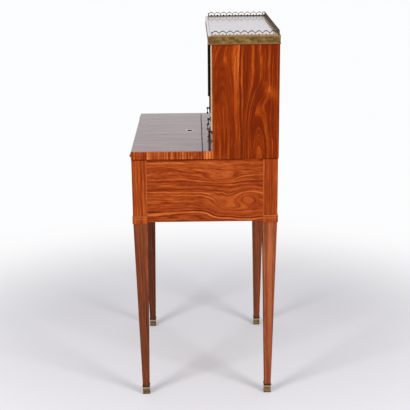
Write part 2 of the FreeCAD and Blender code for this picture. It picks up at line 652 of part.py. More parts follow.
top_blank = block(("-band_half + band_wall", "2 * band_half - 2 * band_wall"),
                  ("band_front + band_wall", "band_depth - 2 * band_wall"),
                  ("cabinet_top", "band_height - band_rim"))
marble_recess = block(("-marble_half - marble_gap", "2 * marble_half + 2 * marble_gap"),
                      ("marble_front - marble_gap", "marble_depth + 2 * marble_gap"),
                      ("marble_low", "marble_thick"))
node("top_board", cut(top_blank, marble_recess, *pivot_holes("cabinet_top")))
node("side_edgings",
     group(*(block((on_side(sign, "cabinet_inner", "side_thick"), "side_thick"),
                   ("cabinet_front - edging_proud", "edging_proud"),
                   ("mid_board_top", "cabinet_top - mid_board_top")) for name, sign in SIDES)))


# --- marble top, brass band and gallery ----------------------------------------------------------

node("marble_top",
     block(("-marble_half", "2 * marble_half"), ("marble_front", "marble_depth"), ("marble_low", "marble_thick")))

band = body("0", "(band_front + band_back) / 2", "cabinet_top")
band_inner = ("2 * band_half - 2 * band_wall", "band_depth - 2 * band_wall")
band_outer = ("2 * band_half", "band_depth")
band_opening = ("2 * band_half - 2 * band_ledge", "band_depth - 2 * band_ledge")
band_web = ("2 * band_half - 2 * band_recess", "band_depth - 2 * band_recess")
frame_pad(band, "XY_Plane", band_outer, band_inner, "band_rim")
frame_pad(band, "XY_Plane", band_web, band_inner, "band_height - 2 * band_rim", "band_rim")
frame_pad(band, "XY_Plane", band_outer, band_opening, "band_rim", "band_height - band_rim")
node("brass_band", band)


def closed_wire(*edges):
    return Part.Wire(Part.__sortEdges__(list(edges)))


def line(start, end):
    return Part.LineSegment(start, end).toShape()


def arch(start, top, end):
    return Part.Arc(start, top, end).toShape()


def chain(*points):
    """Straight edges from point to point, each point an (x, z) pair on the sheet."""
    corners = [Vector(x, 0, z) for x, z in points]
    return [line(start, end) for start, end in zip(corners, corners[1:])]


def gallery_strip(length, bays):
    """A row of pierced arches along +X, standing up +Z, with its sheet towards +Y."""
    pitch = length / bays
    half_bar = value("gallery_bar") / 2
    half_crown = value("gallery_crown") / 2
    rail = value("gallery_rail")
    valley = value("gallery_valley")
    peak = value("gallery_height")
    hump = value("gallery_hump")
    crown = [(0, 0), (0, valley)]
    for k in range(bays):
        middle = (k + 0.5) * pitch
        crown += [(middle - half_crown, peak), (middle + half_crown, peak), ((k + 1) * pitch, valley)]
    wires = [closed_wire(*chain(*crown, (length, 0), (0, 0)))]
    for k in range(bays):
        left = k * pitch + half_bar
        right = (k + 1) * pitch - half_bar
        middle = (left + right) / 2
        shoulder = valley - half_bar
        ceiling = peak - 2 * half_bar
        wires.append(closed_wire(
            *chain((middle - hump, rail), (left, rail), (left, shoulder), (middle - half_crown, ceiling),
                   (middle + half_crown, ceiling), (right, shoulder), (right, rail), (middle + hump, rail)),
            arch(Vector(middle + hump, 0, rail), Vector(middle, 0, rail + hump),
                 Vector(middle - hump, 0, rail))))
    return Part.makeFace(wires, "Part::FaceMakerBullseye").extrude(Vector(0, value("gallery_thick"), 0))


def gallery_corner():
    """One arch bent round the rear right corner, about an axis at the origin."""
    radius = value("gallery_corner")
    chord = radius * 2 ** 0.5
    height = 2 * value("gallery_height")
    shell = Part.makeCylinder(radius, height, Vector(), Vector(0, 0, 1), 90)
    shell = shell.cut(Part.makeCylinder(radius - value("gallery_thick"), height))
    flat = gallery_strip(chord, 1)
    sheet = [face for face in flat.Faces if abs(face.CenterOfMass.y) < value("gallery_thick") / 4][0]
    wide = sheet.extrude(Vector(0, 2 * radius, 0))
    wide.translate(Vector(-chord / 2, 0, 0))
    wide.rotate(Vector(), Vector(0, 0, 1), -45)
    return shell.common(wide)


def gallery_shape():
    """Two side strips, two bent corners and the back strip, in one piece with two end posts."""
    half = value("band_half") - value("gallery_inset")
    rear = value("band_back") - value("gallery_inset")
    front = value("band_front") + value("gallery_setback")
    radius = value("gallery_corner")
    side = gallery_strip(rear - radius - front, int(value("gallery_side_bays")))
    side.rotate(Vector(), Vector(0, 0, 1), 90)
    side.translate(Vector(half, front, 0))
    corner = gallery_corner()
    corner.translate(Vector(half - radius, rear - radius, 0))
    post = Part.makeCylinder(value("gallery_thick"), value("gallery_valley") + value("gallery_bar"),
                             Vector(half - value("gallery_thick") / 2, front, 0))
    right = [side, corner, post]
    left = [part.mirror(Vector(), Vector(1, 0, 0)) for part in right]
    back = gallery_strip(2 * (half - radius), int(value("gallery_back_bays")))
    back.translate(Vector(-half + radius, rear - value("gallery_thick"), 0))
    return back.multiFuse(right + left).removeSplitter()


gallery = DOC.addObject("Part::Feature", "Gallery")
gallery.Shape = gallery_shape()
put(gallery, "0", "0", "cabinet_top + band_height")
node("gallery", gallery)


# --- doors ---------------------------------------------------------------------------------------

def make_door(side_name, sign):
    """A framed and panelled door with its brass bead, keyhole plate and two pivot pins."""
    middle = signed(sign, "door_middle")
    centre_line = "door_low + door_height / 2"
    frame = body(middle, "door_front", centre_line)
    opening = ("panel_width", "panel_height")
    frame_pad(frame, "XZ_Plane", ("door_width", "door_height"), opening, "door_thick", backwards=True)
    panel_start = ("panel_width / 2", "panel_height / 2")
    panel = block((f"{middle} - {panel_start[0]}", opening[0]),
                  ("door_front + door_panel_setback", "door_panel_thick"),
                  (f"{centre_line} - {panel_start[1]}", opening[1]))
    bead = body(middle, "door_front - bead_proud", centre_line)
    frame_pad(bead, "XZ_Plane", opening, ("panel_width - 2 * bead_width", "panel_height - 2 * bead_width"),
              "door_panel_setback + bead_proud", backwards=True)
    pivot_x = signed(sign, "pivot_x")
    pin_length = "pivot_grip + pivot_reach"
    pins = [rod("z", pivot_x, "pivot_y", low, "pivot_radius", pin_length)
            for low in ("door_low - pivot_reach", "door_low + door_height - pivot_grip")]
    key_x = signed(sign, "door_meeting_gap / 2 + door_stile / 2")
    key_way = rod("y", key_x, "door_front - door_thick", "door_lock_line",
                  "key_slot_radius", "3 * door_thick")
    hollows = pins + [key_way]
    if sign > 0:
        start = "door_meeting_gap / 2 + door_stile / 2 - door_lock_width / 2"
        case = ((start, "door_lock_width"),
                ("door_front + door_thick - door_lock_thick", "door_lock_thick"),
                ("door_lock_line - door_lock_height / 2", "door_lock_height"))
        hollows.append(block(*case))
        node("door_lock", block(*case))
    node(f"door_{side_name}_frame", cut(frame, *hollows))
    node(f"door_{side_name}_panel", panel)
    node(f"door_{side_name}_brasses",
         group(bead, *pins, keyhole_plate(key_x, "door_front", "door_lock_line")))


for side_name, side_sign in SIDES:
    make_door(side_name, side_sign)


# --- three small drawers -------------------------------------------------------------------------

def make_small_drawer(place, name):
    """Front, tray and ring pull; `place` counts bays from the middle one."""
    middle = f"{place} * (bay_width + divider_thick)"
    node(f"{name}_front",
         block((f"{middle} - small_front_width / 2", "small_front_width"),
               ("cabinet_front", "small_front_thick"),
               ("desk_height + small_gap", "small_front_height")))
    run = "small_depth - small_front_thick"
    tray = body(middle, f"cabinet_front + small_front_thick + ({run}) / 2", "desk_height + drawer_run_gap")
    outer = sketch_on(tray, "XY_Plane")
    add_rectangle(outer, "Outer", "small_front_width", run)
    pad(tray, outer, "small_tray_height")
    inner = sketch_on(tray, "XY_Plane", "small_tray_height")
    add_rectangle(inner, "Inner", "small_front_width - 2 * small_wall", f"{run} - 2 * small_wall")
    pocket(tray, inner, "small_tray_height - small_bottom")
    node(f"{name}_tray", tray)
    node(f"{name}_pull", pull_plate(middle, "cabinet_front", "small_ring_line"))
    node(f"{name}_ring", pull_ring(middle, "cabinet_front", "small_ring_line"))


for bay, drawer_name in ((-1, "drawer_left"), (0, "drawer_middle"), (1, "drawer_right")):
    make_small_drawer(bay, drawer_name)


# --- check and write -----------------------------------------------------------------------------

DOC.recompute()
for item in DOC.Objects:
    if "Invalid" in item.State or "Error" in item.State:
        raise RuntimeError(f"{item.Name} ({item.Label}) failed: {item.State}")
for item in NODES:
    if item.Shape.isNull() or not item.Shape.isValid():
        raise RuntimeError(f"{item.Label} has no valid shape")
    if not item.Shape.Solids:
        raise RuntimeError(f"{item.Label} holds no solid")

os.makedirs("parts", exist_ok=True)
for item in NODES:
    item.Shape.exportStep(f"parts/{item.Label}.step")
    box = item.Shape.BoundBox
    print(f"{item.Label}: {len(item.Shape.Solids)} solids, {item.Shape.Volume / 1000:.1f} cm3, "
          f"x {box.XMin:.1f}..{box.XMax:.1f} y {box.YMin:.1f}..{box.YMax:.1f} z {box.ZMin:.1f}..{box.ZMax:.1f}")
print(len(NODES), "nodes")
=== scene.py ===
# %% [markdown]
# # A bonheur du jour, dressed in Blender
# The desk comes in as a fixed frame: every board, hinge and drawer is already in its place and at its
# real size, in metres. This script adds what the construction lacks, which is polish, figure, patina
# and the small turned and cast brass parts.

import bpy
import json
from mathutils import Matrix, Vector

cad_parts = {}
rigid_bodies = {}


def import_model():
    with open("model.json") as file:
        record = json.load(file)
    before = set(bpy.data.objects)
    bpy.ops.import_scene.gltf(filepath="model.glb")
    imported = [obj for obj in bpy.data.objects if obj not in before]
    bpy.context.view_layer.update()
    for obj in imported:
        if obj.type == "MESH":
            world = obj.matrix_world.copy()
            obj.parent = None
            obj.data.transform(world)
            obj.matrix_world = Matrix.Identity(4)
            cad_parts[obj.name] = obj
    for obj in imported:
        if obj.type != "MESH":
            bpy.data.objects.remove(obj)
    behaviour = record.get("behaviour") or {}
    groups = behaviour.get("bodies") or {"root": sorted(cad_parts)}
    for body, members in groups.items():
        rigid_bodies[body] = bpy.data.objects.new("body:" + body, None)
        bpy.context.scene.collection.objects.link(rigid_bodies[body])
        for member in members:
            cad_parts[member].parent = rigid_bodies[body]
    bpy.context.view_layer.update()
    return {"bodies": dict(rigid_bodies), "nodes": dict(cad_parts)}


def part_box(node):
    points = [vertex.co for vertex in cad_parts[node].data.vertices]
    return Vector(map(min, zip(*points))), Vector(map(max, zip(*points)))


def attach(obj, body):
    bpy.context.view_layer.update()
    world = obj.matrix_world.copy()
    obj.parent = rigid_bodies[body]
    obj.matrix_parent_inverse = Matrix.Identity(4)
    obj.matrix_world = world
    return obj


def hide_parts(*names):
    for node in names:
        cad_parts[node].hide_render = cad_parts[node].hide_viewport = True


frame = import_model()

# %% [markdown]
# `bpy` makes objects and materials, `bmesh` models with the operators of Edit Mode, and `mathutils` has
# vectors and matrices.

# %% Modules
import json
import math

import bmesh
import bpy
from mathutils import Matrix, Vector

# %% [markdown]
# ## Camera
# The camera stands nearly three metres from the desk's middle, at its right-hand side, and looks
# slightly down. Its axes come from three small angles. A long lens keeps the uprights nearly parallel,
# and a small shift lowers the frame.

# %% Camera at the right-hand side
SENSOR = 36
FOCAL_PIXELS = 965.36
FRAME_PIXELS = 410
SHIFT_PIXELS = 20
CAMERA_SPOT = (2.8555, -0.02165, 1.3355)

turn = math.radians(0.5444)
drop = math.radians(17.384)
roll = math.radians(-0.5588)
forward = Vector((-math.cos(turn) * math.cos(drop), math.sin(turn) * math.cos(drop), -math.sin(drop)))
level = forward.cross(Vector((0, 0, 1))).normalized()
upright = level.cross(forward)
right = level * math.cos(roll) + upright * math.sin(roll)
up = upright * math.cos(roll) - level * math.sin(roll)

camera = bpy.data.objects.new("camera", bpy.data.cameras.new("camera"))
camera.data.sensor_width = SENSOR
camera.data.lens = SENSOR * FOCAL_PIXELS / FRAME_PIXELS
camera.data.shift_y = SHIFT_PIXELS / FRAME_PIXELS
camera.data.clip_end = 50
axes = Matrix((right, up, -forward)).transposed()
camera.matrix_world = Matrix.Translation(CAMERA_SPOT) @ axes.to_4x4()
bpy.context.scene.collection.objects.link(camera)
bpy.context.scene.camera = camera
bpy.context.scene.view_settings.view_transform = "Standard"
print("lens", round(camera.data.lens, 2), "mm")

# %% [markdown]
# ## Writing shader maths as Python
# A wood figure needs dozens of Math nodes. `Wire` wraps a node's output and teaches it Python's
# operators, so `1 - mask * 0.5` adds the nodes by itself. `Finish` is a material being built, or the
# world, and its method `node` makes every node: settings first, because some change which inputs exist,
# then its sockets.

# %% Wire: a node's output with operators
class Wire:
    """A node's output that Python can do sums with."""

    def __init__(self, finish, socket):
        self.finish = finish
        self.socket = socket

    def maths(self, operation, *others):
        return self.finish.node("ShaderNodeMath", {"operation": operation}, (self, *others))

    def __add__(self, other):
        return self.maths("ADD", other)

    def __sub__(self, other):
        return self.maths("SUBTRACT", other)

    def __rsub__(self, other):
        return self.finish.node("ShaderNodeMath", {"operation": "SUBTRACT"}, (other, self))

    def __mul__(self, other):
        return self.maths("MULTIPLY", other)

    def __pow__(self, other):
        return self.maths("POWER", other)

    def __abs__(self):
        return self.maths("ABSOLUTE")

    __radd__ = __add__
    __rmul__ = __mul__


# %% Finish: a material and its node maker
class Finish:
    """A material or world being built; node() adds one node and hands back one of its outputs."""

    def __init__(self, name, kind="materials"):
        self.owner = getattr(bpy.data, kind).new(name)
        self.owner.use_nodes = True
        self.tree = self.owner.node_tree
        self.tree.nodes.clear()

    def node(self, kind, settings=None, inputs=(), output=0):
        made = self.tree.nodes.new(kind)
        for name, value in (settings or {}).items():
            if name == "stops":
                self.fill_ramp(made.color_ramp, value)
            else:
                setattr(made, name, value)
        pairs = inputs.items() if isinstance(inputs, dict) else enumerate(inputs)
        for key, value in pairs:
            if isinstance(value, Wire):
                self.tree.links.new(value.socket, made.inputs[key])
            else:
                made.inputs[key].default_value = value
        return Wire(self, made.outputs[output]) if made.outputs else None

    def fill_ramp(self, ramp, stops):
        while len(ramp.elements) < len(stops):
            ramp.elements.new(0.5)
        for element, (position, colour) in zip(ramp.elements, stops):
            element.position = position
            element.color = (*colour, 1)

# %% [markdown]
# The next methods are the words that the finishes are written in: places, soft steps and stripes, noise,
# colour ramps and mixes. They join the class one by one, so each stays a few lines long.

# %% Words for places and masks
def place(self, kind="Object"):
    """x, y and z. Every object sits at the origin, so Object gives the desk's own metres."""
    point = self.node("ShaderNodeTexCoord", output=kind)
    split = self.node("ShaderNodeSeparateXYZ", inputs=(point,)).socket.node
    return [Wire(self, output) for output in split.outputs]


def facing(self, axis):
    """How far the surface faces along an axis, from 0 to 1."""
    return abs(self.place("Normal")[axis])


def step(self, value, low, high):
    """0 below `low`, 1 above `high`, and a smooth rise between."""
    return self.node("ShaderNodeMapRange", {"interpolation_type": "SMOOTHSTEP"},
                     {"Value": value, "From Min": low, "From Max": high})


def stripe(self, value, centre, half, soft):
    """1 within `half` of the centre, and 0 further than `half + soft`."""
    return 1 - self.step(abs(value - centre), half, half + soft)


def inward(value, low, high):
    """How far a value is from the nearer end of its span."""
    return (high - low) / 2 - abs(value - (low + high) / 2)


Finish.place, Finish.facing, Finish.step, Finish.stripe = place, facing, step, stripe

# %% Words for noise and colour
def noise(self, x, y, z, detail=2, roughness=0.5):
    spot = self.node("ShaderNodeCombineXYZ", inputs=(x, y, z))
    return self.node("ShaderNodeTexNoise", {"noise_dimensions": "3D"},
                     {"Vector": spot, "Scale": 1, "Detail": detail, "Roughness": roughness})


def mottle(self, often, **settings):
    """Noise that changes `often` times in a metre, whichever way it is read."""
    return self.noise(*(axis * often for axis in self.place()), **settings)


def line_noise(self, value, detail=2, roughness=0.5):
    return self.node("ShaderNodeTexNoise", {"noise_dimensions": "1D"},
                     {"W": value, "Scale": 1, "Detail": detail, "Roughness": roughness})


def ramp(self, value, *stops):
    return self.node("ShaderNodeValToRGB", {"stops": stops}, (value,))


def mix(self, factor, first, second):
    first = first if isinstance(first, Wire) else (*first, 1)
    second = second if isinstance(second, Wire) else (*second, 1)
    return self.node("ShaderNodeMix", {"data_type": "RGBA"}, {0: factor, 6: first, 7: second}, output=2)


def shade(self, colour, strength):
    """The colour times a number."""
    return self.node("ShaderNodeVectorMath", {"operation": "SCALE"}, {0: colour, "Scale": strength})


Finish.noise, Finish.mottle, Finish.line_noise = noise, mottle, line_noise
Finish.ramp, Finish.mix, Finish.shade = ramp, mix, shade


def begin(name):
    """A new material, and its x, y and z."""
    paint = Finish(name)
    return (paint, *paint.place())


# %% [markdown]
# Every finish ends in one Principled shader. What changes over the surface feeds its colour, roughness,
# metal, coat or bump; the rest are fixed numbers. French polish is a thin hard coat over the wood, with
# its own sharp reflection. `dress` puts a finish on nodes of the frame, and notes it for later pieces.

# %% Words for the shader itself
def surface(self, colour, roughness, height=None, depth=0, **others):
    """The material's shader; `height` feeds a bump of `depth` metres."""
    inputs = {"Base Color": colour, "Roughness": roughness, **others}
    if height is not None:
        inputs["Normal"] = self.node("ShaderNodeBump", inputs={"Height": height, "Distance": depth})
    shader = self.node("ShaderNodeBsdfPrincipled", inputs=inputs)
    self.node("ShaderNodeOutputMaterial", inputs=(shader,))
    return self


Finish.surface = surface
finish_of = {}


def dress(finish, *names):
    for name in names:
        finish_of[name] = finish
        for slot in frame["nodes"][name].material_slots:
            slot.material = finish.owner


POLISH = {"Coat Weight": 1, "Coat Roughness": 0.05, "Coat IOR": 1.5, "Specular IOR Level": 0.06}

# %% [markdown]
# ## Veneer figure
# Figured veneer is a slice through growth rings that were never quite straight. All of its noise is read
# along one bent coordinate, `line`: slow noise bends it, each swirl pushes it aside, each knot closes it
# into rings, and each cathedral folds it into nested arches, as a cut near the heart of the log does.
# Each is strongest in its middle and fades outwards, so the first helper is a soft oval spot.

# %% Soft spots
def lobe(away):
    """1 in the middle of a spot and 0 far from it, from the squared distance `away`."""
    return (0 - away).maths("EXPONENT")


def spot(u, v, centre_u, centre_v, size_u, size_v):
    """A soft oval spot."""
    return lobe(((u - centre_u) * (1 / size_u)) ** 2 + ((v - centre_v) * (1 / size_v)) ** 2)


# %% The bent line of the grain
def bent_line(paint, along, across, through, seed, wander=0.02, swirls=(), knots=(), cathedrals=()):
    """The coordinate across the grain, bent as the growth rings are; `wander` is in metres."""
    drift = paint.noise(along * 4, across * 6, through * 3 + seed, detail=2.5)
    ripple = paint.noise(along * 22, across * 34, through * 8 + seed, detail=2)
    line = across + (drift - 0.5) * wander + (ripple - 0.5) * 0.004
    for centre, height, length, width, push in swirls:
        line = line + spot(along, across, centre, height, length, width) * push
    for centre, height, length, width in knots:
        crumple = (ripple - 0.5) * 1.1 + (drift - 0.5) * 1.2
        lengthwise = (along - centre) * (1 / length) + crumple
        crosswise = (across - height) * (1 / width)
        oval = (lengthwise ** 2 + crosswise ** 2) ** 0.5
        ring = oval * (width * 1.2) + (ripple - 0.5) * 0.012 + height
        line = line + lobe((oval * 0.7) ** 2) * (ring - line)
    for centre, spring, half, slope, middle, reach in cathedrals:
        rise = (along - spring + (ripple - 0.5) * 0.02).maths("MAXIMUM", 0) * slope
        nested = ((line - centre) ** 2 + rise ** 2) ** 0.5
        above = ((along - middle) * (1 / reach)).maths("MAXIMUM", 0)
        away = above ** 2 + ((across - centre) * (1 / half)) ** 2
        line = line + lobe(away ** 2) * (nested + centre - line)
    return line


# %% [markdown]
# Four layers of noise share that line. The number beside each coordinate says how often the noise
# changes in a metre: few times along the grain, many times across it. `fine` narrows the streaks and
# `broken` shortens them.

# %% Streaks, veins and pores
def figure(paint, along, across, through, seed, fine=1, broken=1, **bends):
    """The grain's tone (0 dark, 1 light), its dark veins, its pores and its bent line."""
    line = bent_line(paint, along, across, through, seed, **bends)
    bands = paint.line_noise(line * 120 * fine + seed, detail=4, roughness=0.72)
    broad = paint.noise(along * 2.6, line * 60 * fine, through * 6 + seed, detail=5, roughness=0.68)
    streaks = paint.noise(along * 11 * broken, line * 290 * fine, through * 9 + seed, detail=4,
                          roughness=0.7)
    pores = paint.noise(along * 40, line * 1300, through * 40 + seed, detail=1)
    tone = bands * 0.27 + broad * 0.22 + streaks * 0.36 + pores * 0.15
    wave = paint.line_noise(line * 36 * fine + seed + 7.3, detail=1.5)
    kept = paint.step(paint.noise(along * 6, line * 40, seed, detail=1), 0.40, 0.60)
    veins = (1 - paint.step(abs(wave - 0.5), 0, 0.020)) * kept
    return tone, veins, pores, line


# %% Colour and polish over the figure
MAHOGANY = ((0.40, (0.120, 0.012, 0.0008)), (0.46, (0.208, 0.026, 0.0025)), (0.51, (0.308, 0.050, 0.0065)),
            (0.56, (0.430, 0.090, 0.0160)), (0.62, (0.600, 0.175, 0.0450)))


def stained(paint, tone, veins, tones=MAHOGANY, vein=0.5):
    """The colour of polished mahogany: the tones of its grain, darker in the veins."""
    return paint.shade(paint.ramp(tone, *tones), 1 - veins * vein)


def polish(paint, colour, pores, **changes):
    """French polish: open pores show as faint dulling and a very shallow bump."""
    return paint.surface(colour, 0.30 + pores * 0.2, height=pores, depth=0.00005, **{**POLISH, **changes})


# %% [markdown]
# The cabinet sides are the show veneer, with upright grain. A pale double streak, parted by a dark line,
# runs down the middle. Two cathedrals, a light wedge where the tree forked, a few soft patches and a
# calm strip are placed in the desk's own metres. The narrow reveal in front of the doors is painted
# black as painted shade.

# %% Cabinet sides
CABINET_RED = (
    (0.420, (0.135, 0.0125, 0.0003)), (0.478, (0.212, 0.0250, 0.0006)), (0.530, (0.318, 0.0495, 0.0024)),
    (0.575, (0.470, 0.1020, 0.0140)), (0.620, (0.640, 0.1700, 0.0380)))
# middle, springing height, half width, slope, and where and how far it fades
CATHEDRALS = ((0.153, 0.735, 0.034, 0.21, 0.790, 0.110), (0.056, 0.850, 0.036, 0.15, 0.930, 0.110))
# middle, half width, softness, change of tone, and how much that grows upwards
STREAKS = ((0.0975, 0.0036, 0.006, 0.026, 0.072), (0.1085, 0.0016, 0.003, 0.034, 0.058),
           (0.1045, 0.0010, 0.003, -0.050, 0))
# middle in y and z, size in y and z, and change of tone
PATCHES = ((0.150, 0.911, 0.013, 0.022, -0.060), (0.060, 0.985, 0.020, 0.035, 0.028),
           (0.170, 0.985, 0.012, 0.030, 0.030))
FORK_Y, FORK_Z = 0.184, 0.901
SLANT_Y, SLANT_Z = 0.66, 0.75
CALM = 0.525
REVEAL_SHADE_BLACK = (0.008, 0.005, 0.003)

paint, x, y, z = begin("cabinet_side_veneer")
tone, veins, pores, line = figure(paint, z, y, x, seed=2, wander=0.022, fine=0.72, cathedrals=CATHEDRALS)
tone = tone * 0.88 + 0.061
upwards = paint.step(z, 0.745, 0.930)
for middle, half, soft, change, growth in STREAKS:
    tone = tone + paint.stripe(line, middle, half, soft) * (change + upwards * growth)
flame = paint.step(paint.noise(z * 55 + y * 60, y * 90 - z * 50, x, detail=2), 0.50, 0.66)
falling = (y - FORK_Y) * SLANT_Y - (z - FORK_Z) * SLANT_Z
rising = (y - FORK_Y) * SLANT_Z + (z - FORK_Z) * SLANT_Y
tone = tone + (0.566 + flame * 0.050 - tone) * spot(falling, rising, 0, 0, 0.030, 0.016) * 0.9
for *patch, change in PATCHES:
    tone = tone + spot(y, z, *patch) * change
tone = tone + (CALM - tone) * spot(y, z, 0.054, 0.885, 0.013, 0.070) * 0.55
tone = tone - spot(y, z, 0.046, 0.885, 0.010, 0.030) * 0.035

# %% Cabinet sides: their edges and colour
low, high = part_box("cabinet_side_right")
tone = tone + paint.stripe(y, low.y + 0.0064, 0.004, 0.006) * 0.012
tone = tone - paint.step(y, high.y - 0.0061, high.y - 0.0021) * 0.03
colour = stained(paint, tone - 0.044, veins, tones=CABINET_RED, vein=0.30)
# The inner face just behind the front edge is painted black as painted shade in the reveal.
inside = 1 - paint.step(abs(x), low.x + 0.0001, low.x + 0.0008)
reveal_shade = inside * (1 - paint.step(y, low.y + 0.0124, low.y + 0.0134))
polish(paint, paint.mix(reveal_shade, colour, REVEAL_SHADE_BLACK), pores)
dress(paint, "cabinet_side_left", "cabinet_side_right")
print("cabinet sides veneered,", round(high.z - low.z, 3), "m high")

# %% [markdown]
# On the frieze the grain lies along the rail, with dark seams and knots low down. A painted shade darkens
# the corner under the writing top, on the frieze and on the posts alike.

# %% Frieze
BOXWOOD = (0.58, 0.27, 0.10)
# middle along the rail and in height, length, width; a swirl also has its push
SIDE_KNOTS = ((0.070, 0.596, 0.028, 0.020), (0.122, 0.600, 0.040, 0.030))
SIDE_SWIRLS = ((0.045, 0.663, 0.050, 0.012, 0.018), (-0.090, 0.690, 0.080, 0.016, -0.012),
               (-0.040, 0.560, 0.080, 0.012, -0.010))
BACK_KNOTS = ((0.020, 0.602, 0.034, 0.022),)
BACK_SWIRLS = ((-0.090, 0.610, 0.050, 0.018, 0.026), (0.130, 0.650, 0.070, 0.016, -0.020))
slab_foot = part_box("bed_board")[0].z


def under_slab_shade(paint, z):
    """The painted shade line in the corner under the writing top."""
    return paint.step(z, slab_foot - 0.0042, slab_foot - 0.0018) * 0.10


def frieze_veneer(name, lengthwise, seed, knots, swirls):
    paint, x, y, z = begin(name)
    along, through = (y, x) if lengthwise == "y" else (x, y)
    tone, veins, pores, line = figure(paint, along, z, through, seed, broken=1.7, wander=0.026,
                                      swirls=swirls, knots=knots)
    seams = paint.stripe(line, 0.6460, 0.0012, 0.0022) + paint.stripe(line, 0.5715, 0.0016, 0.0030) * 0.9
    tone = tone - seams * paint.step(paint.noise(along * 7, seed, seed, detail=1), 0.30, 0.52) * 0.085
    tone = tone + paint.stripe(line, 0.5620, 0.0020, 0.0040) * 0.03
    tone = tone - spot(along, z, -0.105, 0.596, 0.010, 0.005) * 0.06
    for centre, height, length, width in knots:
        tone = tone + (0.515 - tone) * spot(along, z, centre, height, length * 1.2, width * 1.2) * 0.50
    flecks = paint.step(paint.noise(along * 38, line * 240, seed, detail=2), 0.52, 0.68)
    # The frieze darkens under the writing top as painted shade.
    tone = tone - flecks * 0.044 + 0.003 - under_slab_shade(paint, z)
    return polish(paint, stained(paint, tone * 0.9 + 0.049, veins, vein=0.35), pores)


dress(frieze_veneer("frieze_side_veneer", "y", 5, SIDE_KNOTS, SIDE_SWIRLS), "apron_left", "apron_right")
dress(frieze_veneer("frieze_back_veneer", "x", 8, BACK_KNOTS, BACK_SWIRLS), "apron_back", "front_rail")
print("frieze veneered, under a slab at", round(slab_foot, 4), "m")

# %% [markdown]
# Each leg is one post: square in the frieze, tapered below, its grain upright. Each has its own figure
# and tone, and the front pair is darker; the left pair is darker still as painted shade, and each shaft
# is darkened towards the foot as painted shade. A fine boxwood string marks where the post meets the
# frieze. The rear leg on the right has a painted highlight down its shaft, which fades towards the foot.

# %% Legs
LEG_BROWN = (
    (0.38, (0.062, 0.0150, 0.0060)), (0.50, (0.195, 0.0470, 0.0175)), (0.58, (0.360, 0.0920, 0.0330)),
    (0.68, (0.530, 0.1600, 0.0580)))
STRING_X, STRING_Y = 0.2363, 0.16205
LEGS_MIDDLE = 0.00375
collar_foot, collar_top = (corner.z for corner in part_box("leg_collars"))


def leg_veneer(name, seed, tone_and_shade, string, glint_strength):
    """The shift lightens or darkens the shaft, as its own tone and partly as painted shade; the string and
    the painted highlight show as strongly as the last two numbers say.
    """
    paint, x, y, z = begin(name)
    tone, veins, pores, _ = figure(paint, z, y + x, x - y, seed, fine=1.25, wander=0.006)
    # The shaft is darkened towards the foot as painted shade.
    calm = tone * 0.72 + 0.14 - (1 - paint.step(z, 0.08, 0.42)) * 0.016
    shaft = 1 - paint.step(z, collar_foot - 0.0005, collar_foot + 0.0010)
    # A painted highlight down the shaft, fading towards the foot.
    painted_glint = paint.stripe(y, 0.1868, 0.0034, 0.0050) * paint.step(z, 0.02, 0.30) * glint_strength
    # Under the writing top the post darkens as painted shade.
    colour = paint.mix(shaft, stained(paint, calm - 0.004 - under_slab_shade(paint, z), veins, vein=0.2),
                       stained(paint, calm + tone_and_shade + painted_glint, veins, tones=LEG_BROWN, vein=0.2))
    inner_x = paint.stripe(abs(x), STRING_X, 0.0004, 0.0003)
    inner_y = paint.stripe(abs(y - LEGS_MIDDLE), STRING_Y, 0.0004, 0.0003)
    either = 1 - (1 - inner_x) * (1 - inner_y)
    colour = paint.mix(either * (1 - shaft) * string, colour, BOXWOOD)
    return polish(paint, colour, pores)


# The left pair's lower shifts are partly painted shade.
for name, seed, tone_and_shade, string, glint_strength in (
        ("front_right", 11, -0.026, 0.30, 0), ("front_left", 12.5, -0.078, 0.30, 0),
        ("rear_right", 14, 0.034, 0.16, 0.052), ("rear_left", 15.5, 0.007, 0.16, 0)):
    dress(leg_veneer(f"veneer_{name}", seed, tone_and_shade, string, glint_strength), f"leg_{name}")
print("four legs veneered, shafts below", round(collar_foot, 4), "m")

# %% [markdown]
# A collar hides the joint between the square post and the taper. Two boxwood strings run round it.

# %% Collars
paint, x, y, z = begin("collar_veneer")
tone, veins, pores, _ = figure(paint, z, y + x, x - y, seed=18, fine=1.25, wander=0.006)
strings = sum(paint.stripe(z, collar_top - below, 0.0005, 0.0003) for below in (0.0012, 0.0080))
colour = paint.mix(strings * 0.4, stained(paint, tone * 0.6 + 0.205, veins, vein=0.3), BOXWOOD)
dress(polish(paint, colour, pores), "leg_collars")

# %% [markdown]
# The writing top's narrow edges are laid with short upright pieces, which step from light to dark. Its
# faces are much darker and quieter, with grain that runs from front to back. The split line is painted
# black as painted shade, and the polish has sunk a little along the grain.

# %% Writing top
DARK_TOP_TONES = ((0.40, (0.030, 0.0060, 0.0025)), (0.50, (0.075, 0.0135, 0.0050)), (0.60, (0.150, 0.0300, 0.0090)))
# pieces of the banding: middle, half length, change of tone
BANDING = ((-0.1340, 0.0205, 0.04), (-0.0740, 0.0165, -0.03), (-0.0120, 0.0135, -0.05))
PIECES_A_METRE = 31

